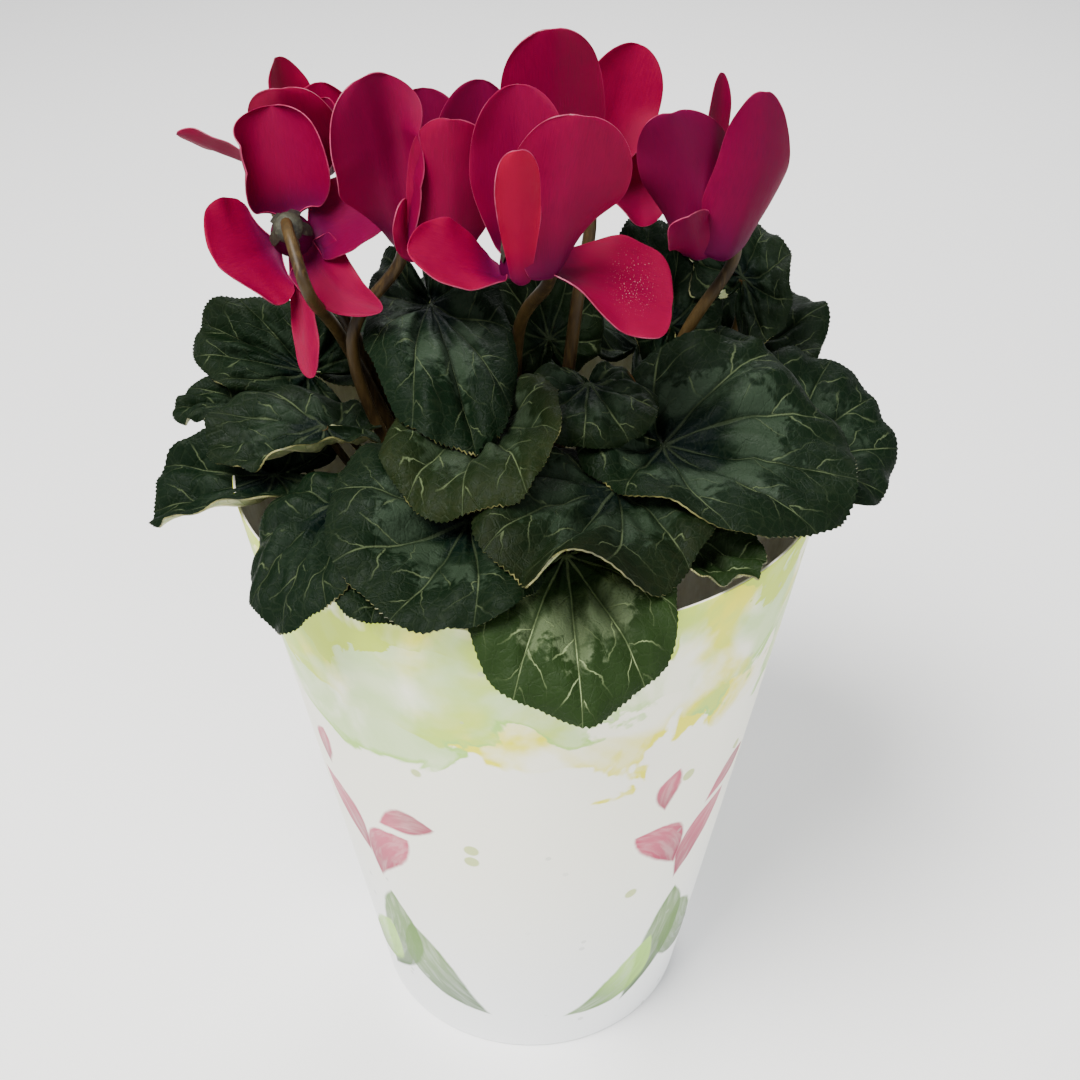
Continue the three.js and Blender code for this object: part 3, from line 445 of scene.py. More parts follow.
# %% Nursery pot
POT_FLOOR = 1.5
POT_TOP = 117.5
POT_PROFILE = [
    (0, POT_FLOOR + 2), (40, POT_FLOOR + 2), (41, POT_FLOOR), (46, POT_FLOOR), (47, POT_FLOOR + 1.5),
    (52, 32), (57.5, 64), (65.9, 104.8), (66, 105.5), (68.6, 105.5), (69, 106.2), (69, POT_TOP - 1.1),
    (68, POT_TOP), (65.4, POT_TOP), (64.6, 116.8), (64.4, 114), (45.6, POT_FLOOR + 3), (0, POT_FLOOR + 3.2),
]
POT_BROWN = (0.13, 0.062, 0.036)
POT_TAN = (0.17, 0.085, 0.05)


def from_lists(name, points, edges=(), faces=()):
    mesh = bpy.data.meshes.new(name)
    mesh.from_pydata([tuple(point) for point in points], edges, faces)
    piece = bpy.data.objects.new(name, mesh)
    bpy.context.scene.collection.objects.link(piece)
    return piece


def spun(name, profile, steps):
    """A profile of (radius, height) pairs in mm, spun round the Z axis into a closed body."""
    points = [(radius * MM, 0, height * MM) for radius, height in profile]
    edges = [(i, i + 1) for i in range(len(points) - 1)]
    piece = from_lists(name, points, edges)
    edit(piece)
    bpy.ops.mesh.spin(steps=steps, angle=2 * math.pi, center=(0, 0, 0), axis=(0, 0, 1))
    bpy.ops.mesh.select_all(action="SELECT")
    bpy.ops.mesh.remove_doubles(threshold=0.01 * MM)
    bpy.ops.mesh.normals_make_consistent(inside=False)
    leave_edit()
    return piece


pot = spun("pot", POT_PROFILE, 96)
smooth(pot, 35)

plastic, shader = new_material("moulded_plastic", 0.55)
place = own_place(shader)
colour = mixed(cloud(place, 30, 4).fade(0.3, 0.7), POT_BROWN, POT_TAN)
wire(shader, {"Base Color": colour, "Roughness": cloud(place, 90, 5).fade(0.3, 0.7, 0.45, 0.65)})
relief(shader, cloud(place, 700, 3), 0.03 * MM, 0.4)
coat(pot, plastic)
dress(pot, "plastic_pot", "pot_plastic", "nursery_pot")
print("pot faces:", len(pot.data.polygons))

# %% [markdown]
# ## Soil
# Peat soil is a heap of crumbs. A spun plug fills the pot, and its top is pushed up and down with a
# noise so that it looks pressed by hand. Near the pot's wall it is a little lower and level.

# %% Soil
SOIL_FLOOR = 3.9
SOIL_FOOT_RADIUS = 45
SOIL_TOP = 108
SOIL_RADIUS = 64.2
SOIL_HEAP = 1.6
SOIL_ROUGH = 1.1
EDGE_DROP = 0.6
EDGE_WIDTH = 4

soil_profile = [(0, SOIL_FLOOR), (SOIL_FOOT_RADIUS, SOIL_FLOOR), (SOIL_RADIUS, SOIL_TOP - EDGE_DROP)]
soil_profile += [(ring, SOIL_TOP) for ring in range(int(SOIL_RADIUS) - 1, -1, -1)]
soil = spun("soil_plug", soil_profile, 160)


def soil_height(x, y):
    heap = SOIL_HEAP * math.sin(0.11 * x + 1) * math.cos(0.13 * y)
    fine = noise.fractal(Vector((x, y, 0)) * 0.16, 0.8, 2.2, 4)
    return SOIL_TOP + heap + SOIL_ROUGH * fine


for corner in soil.data.vertices:
    if corner.co.z > (SOIL_TOP - 1) * MM:
        x = corner.co.x / MM
        y = corner.co.y / MM
        edge = min(1.0, (SOIL_RADIUS - math.hypot(x, y)) / EDGE_WIDTH)
        corner.co.z = (SOIL_TOP - EDGE_DROP + edge * (soil_height(x, y) - SOIL_TOP + EDGE_DROP)) * MM
print("soil faces:", len(soil.data.polygons))

# %% [markdown]
# ### Loose crumbs
# Crumbs, each a few faces only, are strewn over the soil. They are copies of one small lump, each
# scaled and made uneven by seeded random numbers, so that every run strews the same ones.

# %% Crumbs
CRUMBS = 700
CRUMB_REACH = 61
CRUMB_SIZES = (0.5, 1.7)
CRUMB_SEED = 7


def join(pieces, name):
    bpy.ops.object.select_all(action="DESELECT")
    for piece in pieces:
        piece.select_set(True)
    bpy.context.view_layer.objects.active = pieces[0]
    bpy.ops.object.join()
    pieces[0].name = name
    return pieces[0]


chance = np.random.default_rng(CRUMB_SEED)
lump = primitive(bpy.ops.mesh.primitive_ico_sphere_add, subdivisions=1, radius=1)
lump_points = np.array([corner.co[:] for corner in lump.data.vertices])
lump_faces = np.array([face.vertices[:] for face in lump.data.polygons])
bpy.data.objects.remove(lump)
crumb_points = []
crumb_faces = []
for i in range(CRUMBS):
    far = CRUMB_REACH * math.sqrt(chance.uniform(0.05, 1))
    turn = chance.uniform(0, 2 * math.pi)
    x = far * math.cos(turn)
    y = far * math.sin(turn)
    size = chance.uniform(*CRUMB_SIZES)
    rough = lump_points * size * chance.uniform(0.6, 1.25, (len(lump_points), 3))
    centre = np.array([x, y, soil_height(x, y) + 0.3 * size])
    crumb_faces.append(lump_faces + i * len(lump_points))
    crumb_points.append((rough + centre) * MM)
crumbs = from_lists("crumbs", np.concatenate(crumb_points), (), np.concatenate(crumb_faces).tolist())
soil = join([soil, crumbs], "soil_plug")
smooth(soil, 30)
print("soil and crumb faces:", len(soil.data.polygons))

# %% [markdown]
# ### Soil finish
# Moist peat is nearly black, with paler fibres and a few grains of grit. A fine cloud mixes two browns,
# grit sits at the centres of small cells, and a deep bump breaks the light.

# %% Soil finish
PEAT_BLACK = (0.010, 0.006, 0.004)
PEAT_BROWN = (0.055, 0.032, 0.019)
GRIT_TAN = (0.11, 0.07, 0.04)


def cells(place, scale, feature="DISTANCE_TO_EDGE"):
    node = place.node("TexVoronoi", {"Vector": place, "Scale": scale}, feature=feature)
    return Value(node.outputs["Distance"])


peat, shader = new_material("peat", 0.95)
place = own_place(shader)
colour = mixed(cloud(place, 260, 6).fade(0.35, 0.65), PEAT_BLACK, PEAT_BROWN)
grit = cells(place, 420, "F1").fade(0.12, 0.2, 0.5, 0.0)
wire(shader, {"Base Color": mixed(grit, colour, GRIT_TAN)})
relief(shader, cloud(place, 500, 6), 0.8 * MM)
coat(soil, peat)
dress(soil, "peat_soil", "soil", "soil")
print("soil finish:", peat.name)

# %% [markdown]
# ## Tuber
# A cyclamen grows from a flattened corky tuber that sits half out of the soil. A ball with many
# segments is flattened and then roughened by a fractal noise, as the skin is cracked and lumpy.

# %% Tuber
TUBER_RADIUS = 27
TUBER_MIDDLE = 106
TUBER_HALF = 14
TUBER_LUMPS = 0.035
CORK_DARK = (0.085, 0.05, 0.03)
CORK_LIGHT = (0.17, 0.115, 0.075)
CRACK_BROWN = (0.02, 0.012, 0.008)

tuber = primitive(bpy.ops.mesh.primitive_uv_sphere_add, segments=96, ring_count=48, radius=1)
for corner in tuber.data.vertices:
    lumps = 1 + TUBER_LUMPS * noise.fractal(corner.co * 2.4, 0.9, 2.1, 5)
    corner.co.x *= TUBER_RADIUS * MM * lumps
    corner.co.y *= TUBER_RADIUS * MM * lumps
    corner.co.z = (TUBER_MIDDLE + TUBER_HALF * lumps * corner.co.z) * MM
smooth(tuber, 60)

cork, shader = new_material("corky_skin", 0.88)
place = own_place(shader)
cracks = cells(place, 260)
colour = mixed(cloud(place, 90, 5).fade(0.35, 0.65), CORK_DARK, CORK_LIGHT)
wire(shader, {"Base Color": mixed(cracks.fade(0.0, 0.12, 0.8, 0.0), colour, CRACK_BROWN)})
relief(shader, cracks + cloud(place, 300, 5), 0.5 * MM)
coat(tuber, cork)
dress(tuber, "corky_tuber", "tuber", "tuber")
print("tuber faces:", len(tuber.data.polygons))

# %% [markdown]
# ## Leaves: what is known
# Each leaf goes from its petiole's joint (hub) to its tip. Bend turns the tip down, curl lifts both
# sides, fold makes a V along the midrib, wave ruffles the margin, and crest raises a ring round the
# joint so that the margin droops. Hump lifts the margin in an arch beside the tip. Silver says how
# much pale marbling the leaf shows, olive how yellow its outer green is, and fresh how young and
# bright the whole leaf is. The list runs from the lowest leaves to the uppermost, which rest on them.

# %% Leaf list


def leaf(name, hub, tip, width, roll, bend, curl, fold, wave, waves, phase, crest, silver=1.0,
         olive=0.3, hump=0, fresh=0):
    row = dict(locals())
    row.update(name="leaf_" + name, hub=Vector(hub), tip=Vector(tip))
    return row


LEAVES = [
    leaf("back_left", (-46, 44, 226), (-76, 84, 219), 62, 0, 0.5, 0.2, 0.1, 2.5, 5, 0.5, 1),
    leaf("back_middle", (-9, 48, 222), (-12, 102, 220), 68, 0, 0.5, 0.2, 0.12, 2.5, 4, 1.4, 1.5),
    leaf("back_right", (36, 50, 224), (56, 92, 221), 62, 0, 0.5, 0.2, 0.1, 2.5, 5, 2.6, 1.5),
    leaf("left_dark", (-38, 23, 226), (-46, 41, 240), 28, 0, 0.3, 0.3, 0.1, 2, 4, 0.7, 1.5, 0.3, 0.1),
    leaf("right_back_low", (67, 36, 230), (87, 56, 242), 46, 10, 0.4, 0.2, 0.1, 2, 5, 2.2, 1.5, 0.5, 0.2),
    leaf("back_centre", (43, 22, 246), (34, 46, 270), 34, 0, 0.3, 0.4, 0.15, 2, 4, 0.2, 1.5, 0.5, 0.2),
    leaf("behind_blooms", (6, 13, 246), (-1, 28, 267), 38, 0, 0.5, 0.2, 0.1, 2, 4, 2.1, 3, 0.3, 0.5,
         fresh=0.2),
    leaf("front_rim", (-34, -60, 222), (-40, -87, 217), 40, 0, 0.4, 0, 0.1, 1.5, 4, 1, 1.5, 0.4, 0.2),
    leaf("left_boat", (-73, -20, 218), (-112, -20, 207), 40, -14, 0.1, 0.8, 0.3, 1, 4, 2, 0.5, 0.4, 0.1),
    leaf("left_low", (-53, -47, 227), (-63, -82, 210), 42, 22, 0.6, -0.2, 0.15, 1.5, 4, 0.6, 2, 0.2, 0.1),
    leaf("left_small", (-78, 8, 223), (-107, 4, 227), 27, -20, 0.5, 0.5, 0.1, 1.5, 4, 0, 0.5, 0.4, 0.2),
    leaf("left_back", (-66, 20, 226), (-102, 30, 244), 38, -42, 0.2, 0.3, 0.25, 2.5, 5, 1.2, 1.5, 0.5, 0.3),
    leaf("right_low", (66, -34, 222), (85, -47, 219), 28, 0, 0.5, 0.2, 0.1, 2, 4, 0.5, 1.5, 0.3, 0.3),
    leaf("right_outer", (78, -6, 219), (105, 12, 226), 56, 36, 0.5, 0.2, 0.1, 2, 4, 0, 2, 0.7, 0.1),
    leaf("right_tall", (56, 24, 240), (72, 44, 266), 44, 0, 0.3, 0.3, 0.2, 2, 4, 1.9, 1.5, 0.5, 0.3),
    leaf("right_round", (52, -2, 236), (65, 4, 252), 34, 0, 0.3, 0.2, 0.05, 1, 4, 1.1, 1.5, 0.6, 0.1),
    leaf("front_apron", (10, -70, 226), (14, -105, 199), 57, 0, 0.9, -0.25, 0.1, 1.2, 5, 0.4, 1, 1.3, 0.4,
         fresh=0.8),
    leaf("right_rim", (41, -47, 221), (59, -71, 220), 32, 0, -0.9, 0.4, 0.1, 1, 4, 0.9, 0, 0.3, 0.3,
         fresh=0.4),
    leaf("front_left", (-15, -56, 224), (-46, -70, 219), 70, -18, 0.3, 0.35, 0.1, 2.2, 4, 0.8, 3, 1.3, 0.2),
    leaf("front_wavy", (24, -44, 229), (4, -84, 218), 62, 0, 0.6, -0.2, 0, 4, 6, -1.8, 3, 0.8, 0.6,
         hump=30),
    leaf("right_big", (38, -26, 232), (90, -36, 222), 62, 15, 0.4, 0.1, 0.15, 5, 4, -0.7, 3, 1.3, 0.2),
    leaf("left_narrow", (-57, -14, 228), (-88, -18, 220), 32, 8, 0.2, 0.5, 0.2, 1.2, 4, 0.3, 0.5, 0.5, 0.3),
    leaf("centre", (17, -17, 247), (15, -38, 238), 41, 0, 0.6, -0.2, 0, 2.5, 4, 2, 2.5, 0.8, 0.4),
    leaf("curly", (-12, -24, 229), (-14, -58, 217), 48, 6, 0.4, 0.6, 0.2, 2, 4, 1.3, 4, 0.8, 0.9,
         fresh=0.12),
    leaf("tall_centre", (-28, 8, 257), (-12, -35, 217), 39, 0, 0.4, -0.3, 0.05, 2.5, 4, 0.1, 2, 1.3, 0.1),
]
print("leaves:", len(LEAVES))

# %% [markdown]
# ## Leaves: one flat disc for all
# Every blade starts as the same flat disc of rings and spokes, extruded inwards ring by ring from a
# circle. Its spokes later become lines that run from the joint to the margin, so main veins can
# follow them. The disc is modelled once, and each leaf bends its own copy.

# %% Flat disc
SPOKES = 240
RINGS = [0.03, 0.08, 0.14, 0.2, 0.27, 0.34, 0.41, 0.48, 0.55, 0.62, 0.69, 0.76, 0.83, 0.89, 0.94, 0.975, 1]

disc = primitive(bpy.ops.mesh.primitive_circle_add, vertices=SPOKES, radius=1, fill_type="NOTHING")
edit(disc)
for outer, inner in zip(RINGS[:0:-1], RINGS[-2::-1]):
    bpy.ops.mesh.extrude_edges_move(TRANSFORM_OT_translate={"value": (0, 0, 0)})
    bpy.ops.transform.resize(value=(inner / outer, inner / outer, 1), center_override=(0, 0, 0))
bpy.ops.mesh.extrude_edges_move(TRANSFORM_OT_translate={"value": (0, 0, 0)})
bpy.ops.mesh.merge(type="CENTER")
bpy.ops.mesh.select_all(action="SELECT")
bpy.ops.mesh.normals_make_consistent(inside=False)
leave_edit()
flat = np.array([corner.co[:] for corner in disc.data.vertices])
flat_reach = np.hypot(flat[:, 0], flat[:, 1])
flat_turn = np.arctan2(flat[:, 1], flat[:, 0])
ring_of = np.array([int(np.argmin([abs(r - ring) for ring in [0, *RINGS]])) for r in flat_reach])
spoke_of = np.rint((flat_turn + math.pi) / (2 * math.pi) * SPOKES).astype(int) % SPOKES
facing_up = sum(face.normal.z for face in disc.data.polygons)
print("disc corners:", len(flat), "faces up:", facing_up > 0)

# %% [markdown]
# ## Leaves: outline
# The outline is a heart with a notch behind the joint and nine shallow scallops. It could be drawn by
# hand as a curve, but a formula gives the reach at any turn round the joint. It is the same rule that
# made the solids, so the fine blades keep their form.

# %% Outline
HEART_ROUND = 0.72
HEART_LONG = 0.26
HEART_TIP = 0.02
NOTCH_DEPTH = 0.93
NOTCH_WIDTH = 0.26
SCALLOP = 0.025
SCALLOPS = 9


def outline(one, theta):
    heart = HEART_ROUND + HEART_LONG * np.cos(theta) + HEART_TIP * np.cos(2 * theta)
    from_notch = (math.pi - np.abs(theta)) / NOTCH_WIDTH
    notch = 1 - NOTCH_DEPTH * np.exp(-from_notch * from_notch)
    scallop = 1 + SCALLOP * np.sin(SCALLOPS * theta + 3 * one["phase"])
    return heart * notch * scallop


reaches = [round(float(outline({"phase": 0}, turn)), 2) for turn in (0, math.pi / 2, math.pi)]
print("reach at tip, side and notch:", reaches)

# %% [markdown]
# ### Bend and place
# A blade is bent along its midrib and across it on circular arcs, which keep its length. The crease,
# ruffle, crest and arch are heights added to that. Simple deform modifiers could bend a blade too, but
# the solid's own form has to be met exactly, so its rules are used again.

# %% Bend and place
WIDEST_OUTLINE = 0.745
CREST_POWER = 1.5
HUMP_TURN = 0.3
HUMP_WIDTH = 0.35
BACK_BEND = 0.3
FOLD_SOFTNESS = 0.02


def leaf_frame(one):
    chord = one["tip"] - one["hub"]
    along = chord.normalized()
    side = Vector((-along.y, along.x, 0)).normalized()
    side = Quaternion(along, math.radians(one["roll"])) @ side
    half = one["bend"] / 2
    ratio = 1 if abs(half) < 0.01 else half / math.sin(half)
    start = Quaternion(side, -half) @ along
    return start, side, start.cross(side).normalized(), chord.length * ratio


def arc(angle, distance):
    bent = np.where(np.abs(angle) < 0.01, 1e-6, angle)
    straight = np.abs(angle) < 0.01
    forward = np.where(straight, distance, np.sin(bent * distance) / bent)
    aside = np.where(straight, 0, (1 - np.cos(bent * distance)) / bent)
    return forward, aside


def blade_points(one, reach, theta, extra=0.0):
    """Points in mm for a share of the reach from the joint, and a turn round it."""
    start, side, up, length = leaf_frame(one)
    u = reach * np.cos(theta)
    v = reach * np.sin(theta) / WIDEST_OUTLINE
    bend = np.where(u > 0, one["bend"], BACK_BEND * one["bend"])
    half = one["width"] / 2
    forward, drop = arc(bend, u)
    sideways, rise = arc(np.full_like(v, one["curl"]), v)
    crease = one["fold"] * (np.sqrt(v * v + FOLD_SOFTNESS) - math.sqrt(FOLD_SOFTNESS))
    share = reach / outline(one, theta)
    ruffle = one["wave"] * share ** 3 * np.cos(one["waves"] * theta + one["phase"])
    crest = one["crest"] * np.sin(math.pi * np.clip(share, 0, 1) ** CREST_POWER)
    arch = one["hump"] * share ** 3 * np.exp(-((theta - HUMP_TURN) / HUMP_WIDTH) ** 2)
    height = half * (rise + crease) + ruffle + crest + arch + extra
    turned = bend * u
    points = np.array(one["hub"])
    points = points + np.multiply.outer(length * forward + height * np.sin(turned), np.array(start))
    points = points + np.multiply.outer(height * np.cos(turned) - length * drop, np.array(up))
    return points + np.multiply.outer(half * sideways, np.array(side))


print("midrib of the first leaf in mm:", round(leaf_frame(LEAVES[0])[3], 1))

# %% [markdown]
# ### Reading the lift from the solid
# In the source, each blade was pressed up along rays from a point deep in the plant until it cleared
# the blades beneath. The lift of a solid's corners is found again here: a corner's own ray is known,
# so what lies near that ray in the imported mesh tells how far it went.

# %% Lift
SPREAD_CENTRE = np.array([0.0, 0.0, 110.0])
COARSE_RINGS = [0.4, 0.75, 1]
COARSE_SPOKES = 16
RAY_NEAR = 0.47
HIGHEST_LIFT = 25


def corners_of(node):
    return np.array([corner.co[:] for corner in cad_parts[node].data.vertices]) / MM


def lift_near(solid, point):
    """How far along its ray the sheet went, or None where no corner lies near the ray."""
    ray = point - SPREAD_CENTRE
    here = np.linalg.norm(ray)
    ray = ray / here
    offset = solid - SPREAD_CENTRE
    along = offset @ ray
    beside = np.linalg.norm(offset - np.outer(along, ray), axis=1)
    near = (beside < RAY_NEAR) & (along > here - 1) & (along < here + HIGHEST_LIFT)
    if not near.any():
        return None
    return (along[near].min() + along[near].max()) / 2 - here


def lift_table(one):
    """Lift in mm at the joint and at each corner ring of the solid, spoke by spoke."""
    solid = corners_of(one["name"])
    hub = lift_near(solid, np.array(one["hub"])) or 0
    rows = []
    missed = 0
    for k in range(1, COARSE_SPOKES):
        theta = -math.pi + 2 * math.pi * k / COARSE_SPOKES
        edge = float(outline(one, theta))
        lifts = [hub]
        for t in COARSE_RINGS:
            point = blade_points(one, np.array([t * edge]), np.array([theta]))[0]
            found = lift_near(solid, point)
            missed += found is None
            lifts.append(lifts[-1] if found is None else found)
        rows.append((theta, edge, lifts))
    return rows, missed


print("lifts read for each leaf:", 1 + len(COARSE_RINGS) * (COARSE_SPOKES - 1))

# %% [markdown]
# ### Lift between the solid's corners
# The fine blade has many more corners than the solid. Between the solid's corners the lift is
# interpolated, first along each spoke and then from spoke to spoke, and smoothed at the end.

# %% Lift between corners


def lift_at(rows, reach, theta):
    """Lift for arrays of reach and turn, from the table's nearest two spokes."""
    turns = np.array([row[0] for row in rows])
    profiles = []
    for _, edge, lifts in rows:
        profiles.append(np.interp(reach, [0, *(ring * edge for ring in COARSE_RINGS)], lifts))
    stack = np.stack(profiles)
    place = np.interp(theta, turns, np.arange(len(turns)))
    low = np.floor(place).astype(int)
    high = np.minimum(low + 1, len(turns) - 1)
    share = place - low
    pick_low = np.take_along_axis(stack, low[None], 0)[0]
    pick_high = np.take_along_axis(stack, high[None], 0)[0]
    return pick_low * (1 - share) + pick_high * share


def eased(grid, turns, rounds):
    """Smooth a ring-by-spoke grid of numbers; the notch side of the disc is not smoothed across."""
    for _ in range(rounds):
        wide = grid.copy()
        wide[:, 1:-1] = (grid[:, :-2] + 2 * grid[:, 1:-1] + grid[:, 2:]) / 4
        for _ in range(turns):
            wide[:, 1:-1] = (wide[:, :-2] + 2 * wide[:, 1:-1] + wide[:, 2:]) / 4
        grid = wide.copy()
        grid[1:-1] = (wide[:-2] + 2 * wide[1:-1] + wide[2:]) / 4
    return grid


flat_test = eased(np.ones((3, 5)), 1, 1)
print("smoothing keeps an even grid:", bool(np.allclose(flat_test, 1)))

# %% [markdown]
# ### The grid of a blade
# A fine blade is worked out on a grid of rings and spokes, the same as the disc's. Its spokes are
# swept towards the tip, as real veins are. For each corner two things have to be known: where it would
# lie if the blade were laid out flat, and how far away the nearest main vein is.

# %% Blade grid
VEIN_TURNS = np.radians([0, 36, -36, 73.5, -73.5, 112.5, -112.5, 151.5, -151.5])
VEIN_SWEEP = 0.24
turn_grid, ring_grid = np.meshgrid(-math.pi + 2 * math.pi * np.arange(SPOKES) / SPOKES, [0, *RINGS])
theta_grid = turn_grid - VEIN_SWEEP * ring_grid * np.sin(turn_grid)
grid_faces = []
for i in range(len(RINGS)):
    for k in range(SPOKES):
        after = (k + 1) % SPOKES
        a = i * SPOKES + k
        b = i * SPOKES + after
        grid_faces.append((a, a + SPOKES, b + SPOKES, b))


def mean_size(one):
    return (leaf_frame(one)[3] + one["width"] / 2) / 2


def laid_flat(one, reach):
    """Places on the blade in mm, as if it were laid out flat."""
    along = reach * np.cos(theta_grid) * leaf_frame(one)[3]
    return along, reach * np.sin(theta_grid) / WIDEST_OUTLINE * one["width"] / 2


def vein_distance(one, reach):
    """Distance in mm to the nearest main vein, and the side of it that a corner lies on."""
    gaps = turn_grid[None] - VEIN_TURNS[:, None, None]
    nearest = np.argmin(np.abs(gaps), axis=0)
    gap = np.take_along_axis(gaps, nearest[None], 0)[0]
    return np.abs(gap) * reach * mean_size(one), np.sign(gap)


print("corners in one blade:", theta_grid.size, "main veins:", len(VEIN_TURNS))

# %% [markdown]
# ### The fine form of a blade
# A real blade is never smooth. It sinks along its veins, swells and crinkles between them, and its
# toothed margin frills and droops. Sculpting this on 25 leaves would be slow and would change at each
# try. Here the teeth shorten the reach, and the rest is height from waves and seeded noises.

# %% Fine form
VALLEY = 2.3
VEIN_SINK = 0.35
TOOTH = 0.011
LUMPS = [(7, 0.85), (13, 0.6), (23, 0.3)]
FRILLS = [(7, 0.9), (11, 0.8), (17, 0.45)]
CRINKLE_SIZE = 7
CRINKLE_DEPTH = 1.7
MARGIN_DROOP = 1.2
DROOP_START = 0.84
DROOP_REACH = 0.16
VALLEY_WIDTH = 2.8
VEIN_WIDTH = 0.8


def crinkles(one, reach, seed):
    """Small bulges and hollows between the veins, from a noise over the blade laid flat, in mm."""
    places = np.stack(laid_flat(one, reach), axis=-1).reshape(-1, 2) / CRINKLE_SIZE
    heights = [noise.noise(Vector((x, y, 1.7 * seed))) for x, y in places]
    held = np.clip(3 * ring_grid, 0, 1) * (1 - ring_grid ** 8)
    return CRINKLE_DEPTH * held * np.array(heights).reshape(reach.shape)


def blade_grid(one, seed):
    chance = np.random.default_rng(seed)
    edge = outline(one, theta_grid)
    teeth = chance.uniform(-0.35, 0.35, SPOKES) * TOOTH
    teeth[1::2] -= TOOTH
    cut = np.zeros_like(ring_grid)
    cut[-1] = teeth
    cut[-2] = teeth * 0.25
    reach = ring_grid * edge * (1 + cut)
    distance, side = vein_distance(one, reach)
    middle = np.sin(math.pi * np.clip(ring_grid, 0, 1) ** 0.9)
    valley = -VALLEY * np.exp(-(distance / VALLEY_WIDTH) ** 2) * middle
    vein = -VEIN_SINK * np.exp(-(distance / VEIN_WIDTH) ** 2) * np.clip(ring_grid * 4, 0, 1)
    vein = vein * np.clip((1.02 - ring_grid) * 3, 0, 1)
    lumps = np.zeros_like(ring_grid)
    for turns, size in LUMPS:
        shift = chance.uniform(0, 6, 2)
        lumps += size * np.sin(turns * turn_grid + shift[0]) * np.sin(turns * 0.8 * ring_grid + shift[1])
    frill = np.zeros_like(ring_grid)
    for turns, size in FRILLS:
        frill += size * np.sin(turns * turn_grid + chance.uniform(0, 6))
    droop = -MARGIN_DROOP * np.clip((ring_grid - DROOP_START) / DROOP_REACH, 0, 1) ** 2
    form = valley + vein + lumps * middle + frill * ring_grid ** 4 + droop
    form = form + crinkles(one, reach, seed)
    points = blade_points(one, reach, theta_grid, form)
    rows, missed = lift_table(one)
    lift = eased(lift_at(rows, reach, theta_grid), 4, 3)
    rays = points - SPREAD_CENTRE
    length = np.linalg.norm(rays, axis=2, keepdims=True)
    points = points + rays / length * lift[..., None]
    return points, distance, side, reach, missed


first_height = np.ptp(blade_grid(LEAVES[0], 0)[0][..., 2])
print("height of the first blade in mm:", round(first_height, 1))

# %% [markdown]
# ### Pressing the fine blades apart
# The fine blades wave more smoothly than the solids, so here and there one would dip into the blade
# below. Each blade is therefore checked again, from the lowest up. A ray from the same deep point
# finds the blades beneath, and where a corner is too near it is moved out, with its neighbours.

# %% Pressing apart
CLEAR = 0.85
PRESS_LIMIT = 9
LEAST_SLOPE = 0.4
PRESS_EVERY = 3
PRESS_ROUNDS = 10
FIRST_LEAF_SEED = 100


def press_out(points, trees, centre_of):
    """Move corners out along their rays until they clear the blades beneath."""
    rays = points - SPREAD_CENTRE
    here = np.linalg.norm(rays, axis=2)
    rays = rays / here[..., None]
    need = np.zeros(here.shape)
    origin = Vector(SPREAD_CENTRE)
    middle = points[0, 0]
    near = [tree for tree, centre, size in trees if np.linalg.norm(centre - middle) < size + centre_of]
    for i in range(here.shape[0]):
        for k in range(0, here.shape[1], PRESS_EVERY):
            ray = Vector(rays[i, k])
            for tree in near:
                place, normal, _, hit = tree.ray_cast(origin, ray)
                if place is None:
                    continue
                steep = max(LEAST_SLOPE, abs(normal.dot(ray)))
                missing = hit + CLEAR / steep - here[i, k]
                if 0 < missing < PRESS_LIMIT:
                    need[i, max(0, k - 1):k + 2] = np.maximum(need[i, max(0, k - 1):k + 2], missing)
    grown = need.copy()
    for _ in range(PRESS_ROUNDS):
        grown = np.maximum(need, eased(grown, 3, 1))
    return points + rays * grown[..., None], need.max()


grids = {}
trees = []
for number, one in enumerate(LEAVES):
    points, distance, side, reach, missed = blade_grid(one, FIRST_LEAF_SEED + number)
    size = max(one["width"], (one["tip"] - one["hub"]).length * 1.3)
    points, pushed = press_out(points, trees, size)
    grids[one["name"]] = (points, distance, side, reach)
    corners = [Vector(corner) for corner in points.reshape(-1, 3)]
    trees.append((BVHTree.FromPolygons(corners, grid_faces), points[0, 0], size))
    print(one["name"], "corners not found:", missed, "pressed out by mm:", round(pushed, 2))

# %% [markdown]
# ## Leaf finish
# A cyclamen leaf is nearly black-green round the joint. Then comes a ring of grey-green marbling with
# a frayed outer border, and a dark outer zone where pale veins fork. A painted picture would be the
# usual way, but the pattern follows from a few numbers that every corner carries: its share of the
# reach, its distance to a main vein and to the joint, and its side of the vein. Four more say how
# silvery, olive, fresh and rusty the leaf is there.

# %% Leaf top
DEEP_GREEN = (0.0009, 0.0042, 0.0038)
LEAF_GREEN = (0.0016, 0.0070, 0.0023)
OLIVE = (0.008, 0.011, 0.0025)
FRESH_GREEN = (0.014, 0.030, 0.007)
SILVER = (0.018, 0.030, 0.017)
FRESH_SILVER = (0.085, 0.115, 0.055)
VEIN_PALE = (0.085, 0.112, 0.052)
FRESH_VEIN = (0.24, 0.31, 0.14)
RUST = (0.26, 0.08, 0.015)


def own_map(shader, name):
    return Value(add_node(shader.id_data, "UVMap", {}, uv_map=name).outputs[0])


def own_numbers(shader, *names):
    nodes = [add_node(shader.id_data, "Attribute", {}, attribute_name=name) for name in names]
    return [Value(node.outputs["Fac"]) for node in nodes]


